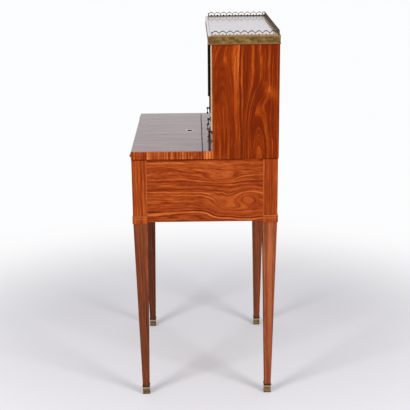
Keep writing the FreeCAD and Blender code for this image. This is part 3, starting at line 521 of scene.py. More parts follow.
paint, x, y, z = begin("writing_top_veneer")
tone, veins, pores, _ = figure(paint, y, x, z, seed=16)
broad = stained(paint, tone, veins, tones=DARK_TOP_TONES, vein=0.3)
run = y + x
piece = (run * PIECES_A_METRE).maths("FLOOR")
leaf = paint.node("ShaderNodeTexWhiteNoise", {"noise_dimensions": "1D"}, {"W": piece})
edge_tone, edge_veins, *_ = figure(paint, z, run, z, seed=21, fine=1.4, wander=0.002)
edge_tone = edge_tone * 1.25 - 0.117 + (leaf - 0.5) * 0.05
edge_tone = edge_tone - (1 - paint.step(y, -0.1560, -0.1550)) * 0.05 + paint.step(y, 0.0010, 0.0015) * 0.05
for middle, half, change in BANDING:
    edge_tone = edge_tone + paint.stripe(y, middle, half, 0.0005) * change
edge = stained(paint, edge_tone, edge_veins, vein=0.4)
level_face = paint.step(paint.facing(2), 0.5, 0.7)
colour = paint.mix(level_face, edge, broad)

# %% The split line and the sunk polish
flap_high, strip_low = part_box("flap_board")[1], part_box("rear_strip")[0]
# The split line is painted black as painted shade in the gap.
split = paint.stripe(y, (flap_high.y + strip_low.y) / 2, 0.0012, 0.0005)
split = split * paint.step(z, flap_high.z - 0.0028, flap_high.z - 0.0020)
colour = paint.mix(split, colour, (0.004, 0.003, 0.003))
sheen = (0.90 + (tone - 0.5) * 2.4) * (1 - split * 0.9)
dress(polish(paint, colour, pores, **{"Coat Weight": sheen}), "flap_board", "bed_board", "rear_strip")
print("writing top veneered, gap", round((strip_low.y - flap_high.y) * 1000, 2), "mm")

# %% [markdown]
# A drawer front is a figured leaf, a thin boxwood string, and a border whose grain stands across the
# edge. `bordered` reads the front's box from the frame, and the distance to the nearest edge says which
# of the three a point belongs to. The frieze drawer's ends show the oak tails of its sides.

# %% A string and a crossbanded border
TAIL_FOOT = 0.5515
TAIL_PITCH = 0.0165
LAP = 0.0030


def bordered(name, node, width, seed, swirls=(), upright=False, tails=False):
    paint, x, y, z = begin(name)
    low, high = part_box(node)
    to_side, to_end = inward(x, low.x, high.x), inward(z, low.z, high.z)
    to_edge = to_side.maths("MINIMUM", to_end)
    grain = (z, x) if upright else (x, z)
    tone, veins, pores, _ = figure(paint, *grain, y, seed, wander=0.03, swirls=swirls)
    lying = paint.step(to_side - to_end, -0.0002, 0.0002)
    cross = paint.node("ShaderNodeMix", {"data_type": "FLOAT"}, {0: lying, 2: z, 3: x})
    cross_tone, cross_veins, *_ = figure(paint, to_edge, cross, y, seed + 3, wander=0.003)
    border = stained(paint, cross_tone + 0.012, cross_veins)
    within = paint.step(to_edge, width - 0.0001, width + 0.0001)
    colour = paint.mix(within, border, stained(paint, tone, veins))
    colour = paint.mix(paint.stripe(to_edge, width, 0.0005, 0.0003), colour, BOXWOOD)
    if tails:
        lap = low.y + LAP
        wave = paint.node("ShaderNodeMath", {"operation": "PINGPONG"}, (z - TAIL_FOOT, TAIL_PITCH))
        tail = paint.step(wave - ((y - lap) * 0.18 + 0.0058), -0.0002, 0.0002)
        tail = tail * paint.step(y, lap - 0.0002, lap + 0.0001) * paint.step(paint.facing(0), 0.5, 0.7)
        colour = paint.mix(tail, colour, (0.33, 0.19, 0.08))
    return polish(paint, colour, pores)


# %% Drawer fronts
SIDES, BAYS = ("left", "right"), ("left", "middle", "right")
FRIEZE_SWIRLS = ((-0.10, 0.620, 0.06, 0.020, 0.024), (0.13, 0.640, 0.05, 0.020, -0.022),
                 (0.02, 0.600, 0.05, 0.014, 0.015))
dress(bordered("frieze_drawer_veneer", "frieze_drawer_front", 0.012, 27, swirls=FRIEZE_SWIRLS, tails=True),
      "frieze_drawer_front")
for bay in BAYS:
    node = f"drawer_{bay}_front"
    centre = (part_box(node)[0].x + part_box(node)[1].x) / 2
    swirl = (centre + 0.02, 0.766, 0.03, 0.008, 0.012)
    dress(bordered(f"small_{bay}_veneer", node, 0.005, 29 + centre * 10, swirls=(swirl,)), node)
print("four drawer fronts veneered")

# %% [markdown]
# The doors are framed the same way, with their grain upright. Their panels are opened like a book, so
# reading the figure on `abs(x)` mirrors one in the other.

# %% Doors and the boards about them
DOOR_CATHEDRAL = (0.140, 0.835, 0.060, 0.20, 0.900, 0.130)
for side_name in SIDES:
    node = f"door_{side_name}_frame"
    dress(bordered(f"door_{side_name}_veneer", node, 0.010, 33, upright=True), node)
    paint, x, y, z = begin(f"door_{side_name}_panel_veneer")
    tone, veins, pores, _ = figure(paint, z, abs(x), y, seed=35, wander=0.018, cathedrals=(DOOR_CATHEDRAL,))
    colour = stained(paint, tone * 0.85 + 0.062, veins, vein=0.25)
    dress(polish(paint, colour, pores), f"door_{side_name}_panel")

paint, x, y, z = begin("plain_mahogany")
tone, veins, pores, _ = figure(paint, x, z + y, y, seed=39, wander=0.012)
dress(polish(paint, stained(paint, tone, veins), pores), "mid_board", "top_board")
print("doors and boards veneered")

# %% [markdown]
# Inside, the desk is oak: straight, pale brown, with the short flecks of its rays, and only waxed. The
# cabinet's back is four upright boards, darkened by the air.

# %% Oak linings
OAK_TONES = ((0.35, (0.17, 0.058, 0.017)), (0.50, (0.31, 0.118, 0.035)), (0.65, (0.45, 0.188, 0.064)))


def oak(name, direction, seed, plank=9, darker=0):
    """`plank` is the width of a board in metres, and `darker` lowers the tone of the whole piece."""
    paint, x, y, z = begin(name)
    along, across, through = {"x": (x, y, z), "y": (y, x, z), "z": (z, x, y)}[direction]
    board = paint.node("ShaderNodeTexWhiteNoise", {"noise_dimensions": "1D"},
                       {"W": (across * (1 / plank) + 0.5).maths("FLOOR") + seed})
    along = along + board * 2
    bands = paint.line_noise((across + through) * 120 + seed, detail=3, roughness=0.6)
    pores = paint.noise(along * 18, across * 900, through * 900)
    rays = paint.noise(along * 60, across * 260 + seed, through * 260, detail=1)
    tone = bands * 0.4 + pores * 0.6 + (board - 0.5) * 0.08 - darker
    colour = paint.ramp(tone, *OAK_TONES)
    colour = paint.mix(paint.step(rays, 0.60, 0.66) * 0.24, colour, (0.50, 0.245, 0.100))
    return paint.surface(colour, 0.5 + pores * 0.2, height=pores, depth=0.00012,
                         **{"Specular IOR Level": 0.3})


dress(oak("oak_back", "z", 5, plank=0.138, darker=0.05), "cabinet_back")
dress(oak("oak_across", "x", 1), "cabinet_floor", "cabinet_shelf", "frieze_drawer_back",
      "frieze_drawer_bottom")
dress(oak("oak_deep", "y", 3), "drawer_dividers", "drawer_runners",
      *(f"frieze_drawer_side_{side}" for side in SIDES), *(f"drawer_{bay}_tray" for bay in BAYS))
print("oak linings waxed")

# %% [markdown]
# ## Metal, stone and leather
# Old lacquered brass is never one colour, so `brass` mottles a light and a dark one. This is the brass
# of the locks, hinges and door mounts.

# %% Brass
def brass(name, light, dark, roughness, metal=0.9):
    paint = Finish(name)
    cloud = paint.mottle(60, detail=4, roughness=0.6)
    specks = paint.mottle(700)
    colour = paint.mix(paint.step(cloud * 0.75 + specks * 0.25, 0.40, 0.60), dark, light)
    return paint.surface(colour, roughness + cloud * 0.2, height=specks, depth=0.00003, Metallic=metal)


aged_brass = brass("aged_brass", (0.62, 0.43, 0.20), (0.30, 0.195, 0.085), 0.30)
dress(aged_brass, "bed_hinge_leaves", "flap_hinge_leaves", "frieze_drawer_lock",
      *(node for node in frame["nodes"] if "_ring" in node or "_pull" in node or "_brasses" in node))

# %% [markdown]
# The gallery is dark wherever no duster reaches: brown inside, black at its foot and round the heads of
# its arches. Only the lower part of its outer faces is rubbed to a warm, pale brown.

# %% Gallery
low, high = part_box("gallery")
paint, x, y, z = begin("gallery_brass")
soot = paint.mottle(120, detail=3)
inside_x = 1 - paint.step(abs(x), high.x - 0.0017, high.x - 0.0011)
inside_y = 1 - paint.step(y, high.y - 0.0010, high.y - 0.0004)
outside = 1 - inside_x * inside_y
foot = 1 - paint.step(z, low.z + 0.0022, low.z + 0.0026)
heads = paint.mix(outside + foot, (0.075, 0.048, 0.027), (0.010, 0.007, 0.004))
rubbed = outside * (1 - paint.step(z, low.z + 0.0050, low.z + 0.0075))
colour = paint.mix(rubbed, heads, (0.40, 0.25, 0.13))
colour = paint.mix(paint.step(soot, 0.45, 0.65) * 0.3, colour, (0.040, 0.024, 0.012))
dress(paint.surface(colour, 0.42 + soot * 0.2, Metallic=0.3, **{"Specular IOR Level": 0.2}), "gallery")

# %% [markdown]
# The band round the marble is mottled in its flat face, with a painted highlight along its upper rim and
# a painted red reflection of the wood at its foot. Its ledge above the doors carries a white painted
# reflection.

# %% Band
low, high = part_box("brass_band")
paint, x, y, z = begin("band_brass")
smear = paint.noise(x * 70, y * 70, z * 130, detail=4, roughness=0.65)
colour = paint.mix(paint.step(smear, 0.36, 0.66), (0.130, 0.074, 0.019), (0.345, 0.204, 0.062))
# Painted highlight along the upper rim.
colour = paint.mix(paint.step(z, high.z - 0.0038, high.z - 0.0028) * 0.8, colour, (0.37, 0.225, 0.105))
# Painted red reflection of the wood below, at the foot.
colour = paint.mix(1 - paint.step(z, low.z + 0.0025, low.z + 0.0035), colour, (0.33, 0.115, 0.032))
# Painted white reflection on the ledge above the doors.
ledge_reflection = paint.step(paint.facing(2), 0.8, 0.95) * (1 - paint.step(y, low.y + 0.0064, low.y + 0.0069))
colour = paint.mix(ledge_reflection, colour, (0.70, 0.68, 0.67))
band_brass = paint.surface(colour, 0.36 + smear * 0.16, height=smear, depth=0.00005, Metallic=0.45)
dress(band_brass, "brass_band")

# %% [markdown]
# The strips on the cabinet's front edges are pale brass outside, paled further as a painted highlight,
# and painted black inside as painted shade. The plate of the writing top's lock is a dark oval with a
# bright rim.

# %% Edging strips and lock plate
paint, x, y, z = begin("edging_brass")
rub = paint.noise(x * 80, y * 80, z * 14, detail=3)
# Pale outside as a painted highlight on the brass, black inside as painted shade.
highlit_outer = paint.step(abs(x), 0.2692, 0.2696)
colour = paint.mix(highlit_outer, (0.020, 0.010, 0.006), paint.mix(rub, (0.50, 0.36, 0.22), (0.70, 0.53, 0.36)))
dress(paint.surface(colour, 0.42 + rub * 0.1, Metallic=0.35), "side_edgings")

PLATE_Y = -0.0379
paint, x, y, z = begin("lock_plate_brass")
oval = (x * (1 / 0.0100)) ** 2 + ((y - PLATE_Y) * (1 / 0.0092)) ** 2
rim = paint.step(oval, 0.85, 1.00)
colour = paint.mix(rim, (0.010, 0.008, 0.006), (0.85, 0.78, 0.66))
dress(paint.surface(colour, 0.75 - rim * 0.5, Metallic=rim, **{"Specular IOR Level": 0}), "flap_lock_plate")
print("brasses finished")

# %% [markdown]
# A shoe's body is mottled and darker at the floor and on the rim, and a painted highlight runs as a
# light line just under the rim.

# %% Shoes
paint = Finish("sabot_brass")
z = paint.place()[2]
cloud = paint.mottle(130, detail=3)
colour = paint.mix(paint.step(cloud, 0.40, 0.60), (0.13, 0.080, 0.032), (0.34, 0.215, 0.100))
# Painted highlight: a light line just under the rim.
colour = paint.mix(paint.stripe(z, 0.0200, 0.0011, 0.0010), colour, (0.62, 0.45, 0.26))
colour = paint.mix(paint.step(z, 0.0222, 0.0230) * 0.9, colour, (0.030, 0.016, 0.009))
colour = paint.mix((1 - paint.step(z, 0.0030, 0.0042)) * 0.7, colour, (0.08, 0.050, 0.025))
sabot_brass = paint.surface(colour, 0.38 + cloud * 0.2, height=cloud, depth=0.00005, Metallic=0.45)
dress(sabot_brass, "sabots")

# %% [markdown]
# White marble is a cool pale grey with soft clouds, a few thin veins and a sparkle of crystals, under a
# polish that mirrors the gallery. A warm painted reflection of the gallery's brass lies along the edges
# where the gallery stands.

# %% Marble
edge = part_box("marble_top")[1]
paint, x, y, z = begin("white_marble")
bend = paint.mottle(5, detail=5, roughness=0.6)
vein = 1 - paint.step(abs(paint.noise(x * 6 + bend * 1.5, y * 9, z * 6, detail=3) - 0.5), 0, 0.04)
cloud = paint.step(paint.noise(x * 14, y * 30 + bend, z * 9, detail=5, roughness=0.7), 0.35, 0.7)
grit = paint.mottle(260, detail=3, roughness=0.7)
colour = paint.mix(cloud * 0.7, (0.64, 0.63, 0.645), (0.50, 0.50, 0.52))
colour = paint.mix(paint.step(grit, 0.35, 0.65) * 0.25, colour, (0.76, 0.75, 0.76))
colour = paint.mix(vein * 0.30, colour, (0.34, 0.34, 0.38))
# A warm painted reflection of the gallery's brass along the edges where it stands.
to_edge = (edge.x - abs(x)).maths("MINIMUM", edge.y - y)
colour = paint.mix((1 - paint.step(to_edge, 0.014, 0.032)) * 0.3, colour, (0.86, 0.66, 0.47))
paint.surface(colour, 0.12 + cloud * 0.05, **{"Coat Weight": 0.4, "Coat Roughness": 0.04})
dress(paint, "marble_top")
print("marble polished,", round(edge.x * 2, 3), "m wide")

# %% [markdown]
# The two leathers are dark red with two gold lines, pressed in with a hot wheel. Only the gold is metal,
# so Metallic follows it.

# %% Leather and lock steel
low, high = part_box("bed_leather")
paint, x, y, z = begin("writing_leather")
grain = paint.node("ShaderNodeTexVoronoi", {"feature": "DISTANCE_TO_EDGE"},
                   {"Vector": paint.node("ShaderNodeCombineXYZ", inputs=(x, y, z)), "Scale": 900})
wear = paint.mottle(14, detail=4)
colour = paint.mix(paint.step(wear, 0.4, 0.65), (0.060, 0.012, 0.008), (0.125, 0.030, 0.018))
to_edge = inward(x, low.x, high.x).maths("MINIMUM", inward(y, low.y, high.y))
gold = paint.stripe(to_edge, 0.0060, 0.0007, 0.0001) + paint.stripe(to_edge, 0.0090, 0.0002, 0.0001)
gold = gold * paint.step(wear, 0.30, 0.42)
colour = paint.mix(gold, colour, (0.78, 0.55, 0.20))
paint.surface(colour, 0.45 + wear * 0.2, height=paint.step(grain, 0, 0.25), depth=0.0001, Metallic=gold)
dress(paint, "bed_leather", "flap_leather")

paint, x, y, z = begin("lock_steel")
rub = paint.noise(x * 900, y * 60, z * 60)
colour = paint.mix(rub, (0.22, 0.21, 0.20), (0.42, 0.41, 0.39))
paint.surface(colour, 0.35 + rub * 0.25, height=rub, depth=0.00002, Metallic=1)
dress(paint, "flap_lock", "door_lock")
print(len(bpy.data.materials), "finishes so far")

# %% [markdown]
# ## Pieces made in Blender
# The frame's boards have knife edges and its brass is plain. A maker eases the edges and gives brass its
# mouldings. `finished` turns a bmesh into a named piece, puts it on the body that carries the node it
# stands for, and hides that node.

# %% A piece that stands for a node of the frame
MM = 0.001
carrier = {node.name: body for body, empty in frame["bodies"].items() for node in empty.children}


def shaped(name, build, finish):
    mesh = bpy.data.meshes.new(name)
    build.to_mesh(mesh)
    build.free()
    mesh.materials.append(finish.owner)
    piece = bpy.data.objects.new(name, mesh)
    bpy.context.scene.collection.objects.link(piece)
    return piece


def finished(name, build, finish, *replaced, body=None, slot="brass"):
    """A piece in place of the nodes `replaced`, or one on `body` that adds to them."""
    bmesh.ops.remove_doubles(build, verts=build.verts, dist=1e-6)
    bmesh.ops.recalc_face_normals(build, faces=build.faces)
    piece = shaped(name, build, finish)
    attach(piece, body or carrier[replaced[0]])
    if replaced:
        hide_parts(*replaced)
    print(name, len(piece.data.polygons), "faces")


def box_of(name):
    """The lowest and highest corner of a node of the frame, in millimetres."""
    return [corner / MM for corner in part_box(name)]

# %% [markdown]
# An eased edge makes a board read as wood, because it catches a thin line of light. `eased` copies the
# frame's own mesh, merges its loose triangles, and bevels only the edges that a test picks out, by their
# middle and length in millimetres. The board's faces stay exactly where they were.

# %% Boards with eased edges
SHARP = 1


def eased(name, width, wanted, slot="mahogany"):
    """A copy of a board with the wanted sharp edges rounded over by `width` millimetres."""
    build = bmesh.new()
    build.from_mesh(frame["nodes"][name].data)
    bmesh.ops.remove_doubles(build, verts=build.verts, dist=1e-5)
    bmesh.ops.dissolve_limit(build, angle_limit=math.radians(1), verts=build.verts, edges=build.edges)
    sharp = [edge for edge in build.edges if edge.is_convex and edge.calc_face_angle(0) > SHARP
             and wanted((edge.verts[0].co + edge.verts[1].co) / 2 / MM, edge.calc_length() / MM)]
    bmesh.ops.bevel(build, geom=sharp, offset=width * MM, offset_type="OFFSET", segments=2, profile=0.5,
                    affect="EDGES", material=-1, clamp_overlap=False)
    print(name, len(sharp), "edges eased")
    finished("eased_" + name, build, finish_of[name], name, slot=slot)


def every_edge(middle, length):
    return True


# %% The boards that are eased
eased("flap_board", 1.5, lambda m, length: m.z > 739 and length > 150)
eased("rear_strip", 1.5, lambda m, length: m.z > 739 and m.y < 25)
eased("bed_board", 0.8, lambda m, length: m.z < 719 and m.y < -2 and length > 150)
for side_name in SIDES:
    eased(f"cabinet_side_{side_name}", 0.8, lambda m, length: abs(m.x) > 279 and m.y > 206 and length > 200)
    eased(f"door_{side_name}_frame", 0.6, lambda m, length: m.y < 37.7 and length > 100)
eased("frieze_drawer_front", 0.7, lambda m, length: m.y < -197.8 and length > 100)
for bay in BAYS:
    eased(f"drawer_{bay}_front", 0.6, every_edge)
eased("marble_top", 0.8, lambda m, length: m.z > 1050, slot="marble")
eased("side_edgings", 0.9, every_edge, slot="brass")

# %% Legs and collars with eased corners
LEGS_Y = LEGS_MIDDLE / MM
for side_name in SIDES:
    for end in ("front", "rear"):
        eased(f"leg_{end}_{side_name}", 0.8, lambda m, length:
              length > 500 or (length > 150 and abs(m.x) > 275 and abs(m.y - LEGS_Y) > 201))
eased("leg_collars", 0.7, lambda m, length: length > 30 and (abs(m.x) > 277 or abs(m.y - LEGS_Y) > 202.5))

# %% [markdown]
# ## Mouldings that run round a rectangle
# The band, the shoes and the beads on the doors are one idea: a section run round four mitred corners.
# `run_round` extrudes a loop of four vertices once for each point of the section, and moves the new loop
# out and up. The sign of a corner's place says which of the four it is.

# %% Run a section round a rectangle
UPRIGHT = Matrix.Rotation(math.pi / 2, 4, "X")


def at(x, y, z):
    return Matrix.Translation(Vector((x, y, z)) * MM)


def run_round(build, half_x, half_y, section, place, closed=True):
    """Each (out, up) point of the section, in millimetres, becomes a loop of four corners."""
    corners = [build.verts.new((x, y, 0)) for x, y in ((-1, -1), (1, -1), (1, 1), (-1, 1))]
    first = loop = [build.edges.new((corners[k], corners[(k + 1) % 4])) for k in range(4)]
    made = []
    for number, (out, lift) in enumerate(section):
        if number:
            grown = bmesh.ops.extrude_edge_only(build, edges=loop)["geom"]
            corners = [item for item in grown if isinstance(item, bmesh.types.BMVert)]
            loop = [item for item in grown if isinstance(item, bmesh.types.BMEdge)
                    and all(vert in corners for vert in item.verts)]
        for corner in corners:
            reach = math.copysign(half_x + out, corner.co.x), math.copysign(half_y + out, corner.co.y)
            corner.co = Vector((*reach, lift)) * MM
        made += corners
    if closed:
        bmesh.ops.bridge_loops(build, edges=first + loop)
    else:
        bmesh.ops.holes_fill(build, edges=first)
        bmesh.ops.holes_fill(build, edges=loop)
    bmesh.ops.transform(build, matrix=place, verts=made)

# %% [markdown]
# The brass band is a flat strip with a rounded rim at its top and its foot. Its upper rim turns inwards
# as a ledge, on which the gallery stands and against which the marble lies.

# %% Brass band
BAND = [(-2, 0), (-0.8, 0), (-0.25, 0.25), (0, 0.8), (0, 2.2), (-0.25, 2.75), (-0.8, 3),
        (-1, 3.2), (-1, 19.6), (-0.8, 19.9), (-0.25, 20.2), (0, 20.8), (0, 22.2), (-0.25, 22.75),
        (-0.8, 23), (-6.4, 23), (-6.4, 20), (-2, 20)]
low, high = box_of("brass_band")
half, middle = (high - low) / 2, (high + low) / 2
build = bmesh.new()
run_round(build, half.x, half.y, BAND, at(middle.x, middle.y, low.z))
finished("moulded_band", build, band_brass, "brass_band")

# %% [markdown]
# Each foot stands in a cast shoe: a square cup that widens a little upwards, with a fillet at the floor
# and a bold rim. The leg disappears into it, so the cup is hollow.

# %% Sabots
SHOE = [(0, 0), (0.3, 0.5), (0.3, 2.4), (0, 3), (0, 3.8), (0.35, 21.6), (0.1, 22), (0.1, 22.6),
        (0.9, 23.3), (1.2, 24), (1.2, 26.8), (0.9, 27.6), (0.3, 28), (0.05, 28), (-0.6, 3)]
SHOE_HALF = 9.9
FEET_X, FEET_Y = (-254.2, 254.2), (-176.1, 183.6)
build = bmesh.new()
for foot_x in FEET_X:
    for foot_y in FEET_Y:
        run_round(build, SHOE_HALF, SHOE_HALF, SHOE, at(foot_x, foot_y, 0), closed=False)
finished("cast_sabots", build, sabot_brass, "sabots")

# %% [markdown]
# ## Turned and cast drawer furniture
# A ring pull hangs from an eye on a turned rose. The rose's section is spun round its own axis, and so
# is the wire of the eye and of the ring. The chased beads round its edge are a circle of tiny spheres.
# The eye stands where the frame has it, so the ring's joint stays true.

# %% Spun shapes
def spun(build, points, centre, axis, steps=28):
    """Spin a line of points, in metres, once round an axis."""
    line = [build.verts.new(point) for point in points]
    edges = [build.edges.new(pair) for pair in zip(line, line[1:])]
    bmesh.ops.spin(build, geom=line + edges, cent=centre, axis=axis, angle=math.tau, steps=steps,
                   use_merge=True)


# %% Rose, eye and ring
ROSE = [(0, 0), (8, 0), (8, 0.7), (7.7, 1.1), (6.6, 1.2), (6.3, 0.9), (5.6, 0.9), (4.9, 1.5),
        (3.8, 1.9), (3.2, 2.6), (2.2, 2.9), (1.7, 3.5), (1.6, 5), (0, 5.4)]
BEADS, BEAD_RADIUS, BEAD_CIRCLE, BEAD_OUT = 20, 0.55, 7.1, 1.15
EYE_OUT, EYE_RADIUS, EYE_WIDE, EYE_WIRE = 7, 2.48, 1.60, 1.02
RING_RADIUS, RING_WIRE = 8.5, 1.25
FOOT_DROP, FOOT_RADIUS = 15.1, 3.1


def turns(count, steps):
    """`count` angles, of which `steps` make a full turn."""
    return (math.tau * k / steps for k in range(count))


def ring_pull(build, x, face, z):
    """Rose, stem and eye on a drawer front whose face is at `face`; all in millimetres."""
    centre = Vector((x, face, z)) * MM
    spun(build, [centre + Vector((radius, -out, 0)) * MM for radius, out in ROSE], centre, (0, 1, 0))
    eye = centre + Vector((0, -EYE_OUT, 0)) * MM
    wire = [eye + Vector((EYE_WIDE * math.cos(turn), EYE_RADIUS + EYE_WIRE * math.sin(turn), 0)) * MM
            for turn in turns(11, 10)]
    spun(build, wire, eye, (1, 0, 0), steps=20)
    for turn in turns(BEADS, BEADS):
        place = at(x + BEAD_CIRCLE * math.cos(turn), face - BEAD_OUT, z + BEAD_CIRCLE * math.sin(turn))
        bmesh.ops.create_icosphere(build, subdivisions=1, radius=BEAD_RADIUS * MM, matrix=place)


def pull_ring(build, x, face, z):
    """The ring that hangs in the eye, with a turned bead at its foot where the finger takes it."""
    middle = Vector((x, face - EYE_OUT, z - RING_RADIUS)) * MM
    wire = [middle + Vector((RING_RADIUS + RING_WIRE * math.cos(turn), RING_WIRE * math.sin(turn), 0)) * MM
            for turn in turns(13, 12)]
    spun(build, wire, middle, (0, 1, 0), steps=44)
    foot = at(x, face - EYE_OUT, z - FOOT_DROP)
    bmesh.ops.create_uvsphere(build, u_segments=20, v_segments=12, radius=FOOT_RADIUS * MM,
                              matrix=foot @ Matrix.Diagonal((1.2, 1, 1.04, 1)))


# %% Ring pulls
# the face of the drawer front, and the height of its eyes
FRIEZE = (box_of("frieze_drawer_front")[0].y, 640)
SMALL = (box_of("drawer_middle_front")[0].y, 774)
FRIEZE_PULLS, SMALL_PULLS = (-115, 115), (-181.667, 0, 181.667)
dark_brass = brass("dark_brass", (0.060, 0.038, 0.018), (0.014, 0.010, 0.006), 0.40, metal=0.6)


def furniture(name, shape, places, front, node):
    """One piece that has the same casting at each of its places along a drawer front."""
    build = bmesh.new()
    for x in places:
        shape(build, x, *front)
    finished(name, build, dark_brass, node)


furniture("frieze_roses", ring_pull, FRIEZE_PULLS, FRIEZE, "frieze_drawer_pulls")
for bay, x in zip(BAYS, SMALL_PULLS):
    furniture(f"rose_{bay}", ring_pull, [x], SMALL, f"drawer_{bay}_pull")
    furniture(f"ring_{bay}", pull_ring, [x], SMALL, f"drawer_{bay}_ring")
for side_name, x in zip(SIDES, FRIEZE_PULLS):
    furniture(f"frieze_ring_{side_name}", pull_ring, [x], FRIEZE, f"frieze_drawer_ring_{side_name}")

# %% [markdown]
# An oval escutcheon round a keyhole is five loops bridged: three ovals for its domed edge, and two
# circles for the hole. A screw is a thin disc with two half moons on it; the gap between them is its
# slot.

# %% Escutcheons and screws
# radius, height over width, and how far the loop stands out
ESCUTCHEON = ((8, 1.5, 0), (8, 1.5, 0.6), (7.2, 1.5, 1), (2.2, 1, 0.8), (2.2, 1, 0))


def escutcheon(build, x, face, z):
    loops = []
    for radius, tall, out in ESCUTCHEON:
        place = at(x, face - out, z) @ UPRIGHT @ Matrix.Diagonal((1, tall, 1, 1))
        ring = bmesh.ops.create_circle(build, segments=36, radius=radius * MM, matrix=place)["verts"]
        loops.append({edge for vert in ring for edge in vert.link_edges})
    for near, far in zip(loops, loops[1:]):
        bmesh.ops.bridge_loops(build, edges=list(near | far))


def pin(build, place, radius, depth, segments=18):
    """A round pin or disc along the place's own Z."""
    bmesh.ops.create_cone(build, cap_ends=True, segments=segments, radius1=radius * MM, radius2=radius * MM,
                          depth=depth * MM, matrix=place)


def screw(build, place):
    """A slotted head in two half moons over a thin disc; its axis is the place's own Z."""
    pin(build, place, 1.8, 0.10)
    for sign in (-1, 1):
        head = bmesh.ops.create_cone(build, cap_ends=True, segments=18, radius1=1.7 * MM, radius2=1.5 * MM,
                                     depth=0.30 * MM)["verts"]
        faces = list({face for vert in head for face in vert.link_faces})
        edges = list({edge for vert in head for edge in vert.link_edges})
        cut = bmesh.ops.bisect_plane(build, geom=head + edges + faces, plane_co=(0, sign * 0.25 * MM, 0),
                                     plane_no=(0, sign, 0), clear_inner=True)
        rim = [item for item in cut["geom_cut"] if isinstance(item, bmesh.types.BMEdge)]
        bmesh.ops.holes_fill(build, edges=rim)
        half = {vert for edge in rim for face in edge.link_faces for vert in face.verts}
        half |= {vert for start in set(half) for face in start.link_faces for vert in face.verts}
        bmesh.ops.transform(build, matrix=place, verts=list(half))


# %% [markdown]
# The frieze drawer's lock is a case at the back of the front, four screws, and an escutcheon outside. A
# door's brasses are a bead round the panel, an escutcheon and two pivot pins.

# %% Drawer lock
CASE_DEPTH = 9
INSET = 4
low, high = box_of("frieze_drawer_lock")
build = bmesh.new()
middle = at((low.x + high.x) / 2, high.y - CASE_DEPTH / 2, (low.z + high.z) / 2)
size = Matrix.Diagonal((high.x - low.x, CASE_DEPTH, high.z - low.z, 1))
bmesh.ops.create_cube(build, size=MM, matrix=middle @ size)
escutcheon(build, 0, FRIEZE[0], (low.z + high.z) / 2)
for x in (low.x + INSET, high.x - INSET):
    for z in (low.z + INSET, high.z - INSET):
        screw(build, at(x, high.y + 0.05, z) @ UPRIGHT.inverted())
finished("drawer_lock", build, aged_brass, "frieze_drawer_lock")

# %% Door brasses
BEAD = [(0, 0), (-4, 0), (-4, 2.1), (-3.6, 2.75), (-2.8, 3.1), (-1.2, 3.1), (-0.4, 2.75),
        (0, 2.1)]
PIVOT_X, PIN_RADIUS, PIN_LENGTH = 265, 1.5, 13
KEYHOLE_X = 15.75
for side_name, sign in zip(SIDES, (-1, 1)):
    build = bmesh.new()
    low, high = box_of(f"door_{side_name}_panel")
    half, middle = (high - low) / 2, (high + low) / 2
    run_round(build, half.x, half.z, BEAD, at(middle.x, low.y, middle.z) @ UPRIGHT)
    foot, top = (corner.z for corner in box_of(f"door_{side_name}_brasses"))
    for height in (foot + PIN_LENGTH / 2, top - PIN_LENGTH / 2):
        pin(build, at(sign * PIVOT_X, low.y, height), PIN_RADIUS, PIN_LENGTH, segments=20)
    frame_low, _ = box_of(f"door_{side_name}_frame")
    escutcheon(build, sign * KEYHOLE_X, frame_low.y, middle.z)
    finished(f"door_{side_name}_mounts", build, aged_brass, f"door_{side_name}_brasses")

# %% [markdown]
# The hinge leaves stay as they are in the frame, because their knuckles are a working fit. Three screws
# hold each leaf to its board, and are seen when the top is folded open.

# %% Hinge screws
SCREW_PLACES = ((253, -190), (263, -180.5), (273, -190))
for leaf_body, height, lean in (("case", 728.88, 0), ("flap", 729.22, math.pi)):
    build = bmesh.new()
    for sign in (-1, 1):
        for run, depth in SCREW_PLACES:
            screw(build, at(sign * run, depth, height) @ Matrix.Rotation(lean, 4, "X"))
    finished(f"{leaf_body}_hinge_screws", build, aged_brass, body=leaf_body)

# %% [markdown]
# ## Floor and light
# A pale round floor takes the feet's shadows and fades to plain white at its rim. In mirrors it is dim,
# which keeps its glare off the polish.

# %% Floor
FLOOR_RADIUS = 1.55

paint, x, y, z = begin("studio_floor")
reach = (x ** 2 + y ** 2) ** 0.5


def ground(near, far, fade):
    """Lit floor in the middle, and the flat colour `far` beyond it."""
    lit = paint.node("ShaderNodeBsdfDiffuse", inputs={"Color": (*near, 1)})
    flat = paint.node("ShaderNodeEmission", inputs={"Color": (*far, 1), "Strength": 1})
    return paint.node("ShaderNodeMixShader", inputs=(paint.step(reach, *fade), lit, flat))


seen = ground((0.70, 0.69, 0.715), (0.97, 0.97, 0.98), (0.5, 1.5))
mirrored = ground((0.06, 0.058, 0.06), (0.03, 0.03, 0.03), (0.3, 1.2))
glossy_ray = paint.node("ShaderNodeLightPath", output="Is Glossy Ray")
both = paint.node("ShaderNodeMixShader", inputs=(glossy_ray, seen, mirrored))
paint.node("ShaderNodeOutputMaterial", inputs=(both,))

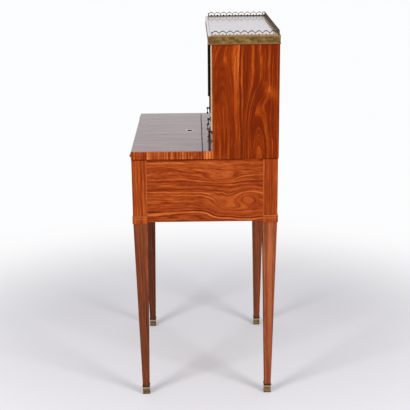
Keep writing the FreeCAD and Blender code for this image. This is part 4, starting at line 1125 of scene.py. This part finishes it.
build = bmesh.new()
bmesh.ops.create_circle(build, cap_ends=True, segments=96, radius=FLOOR_RADIUS)
floor = shaped("studio_floor", build, paint)
print("floor", FLOOR_RADIUS * 2, "m across")

# %% [markdown]
# The world lights the desk evenly and shows as white behind it. Polish and brass mirror something else:
# a bright wall above the horizon and a dim room below it. That keeps upright faces deep in colour and
# lets the level ones shine.

# %% World
sky = Finish("studio", "worlds")
bpy.context.scene.world = sky.owner
height = sky.place("Generated")[2]
lift = sky.node("ShaderNodeMapRange", {"interpolation_type": "SMOOTHSTEP"},
                {"Value": height, "From Min": -0.12, "From Max": 0.22, "To Min": 0.03, "To Max": 1.02})
ambient = sky.node("ShaderNodeBackground", inputs=((0.96, 0.97, 1, 1), 0.66))
mirror = sky.node("ShaderNodeBackground", inputs=((1, 0.955, 0.99, 1), lift))
backdrop = sky.node("ShaderNodeBackground", inputs=((0.97, 0.975, 0.985, 1), 1))
camera_ray, glossy_ray, clear_ray = (
    sky.node("ShaderNodeLightPath", output=f"Is {kind} Ray") for kind in ("Camera", "Glossy", "Transmission"))
unseen = sky.node("ShaderNodeMixShader", inputs=(glossy_ray, ambient, mirror))
both = sky.node("ShaderNodeMixShader", inputs=(camera_ray.maths("MAXIMUM", clear_ray), unseen, backdrop))
sky.node("ShaderNodeOutputWorld", inputs=(both,))
print(len(sky.tree.nodes), "nodes light the room")

# %% [markdown]
# Two large soft lamps stand either side of the camera. They are left out of the mirror rays, so no hard
# white panes lie on the polished top or the marble.

# %% Lamps
LAMP_SIZE = 0.95
DESK_MIDDLE = Vector((0, 0, 0.5))

for name, side_y, watts in (("lamp_front", -1.9, 54), ("lamp_back", 1.9, 50)):
    light = bpy.data.lights.new(name, "AREA")
    light.size = LAMP_SIZE
    light.energy = watts
    lamp = bpy.data.objects.new(name, light)
    lamp.location = (2.1, side_y, 2)
    lamp.rotation_euler = (DESK_MIDDLE - lamp.location).to_track_quat("-Z", "Y").to_euler()
    lamp.visible_glossy = False
    bpy.context.scene.collection.objects.link(lamp)
    print(name, watts, "W")
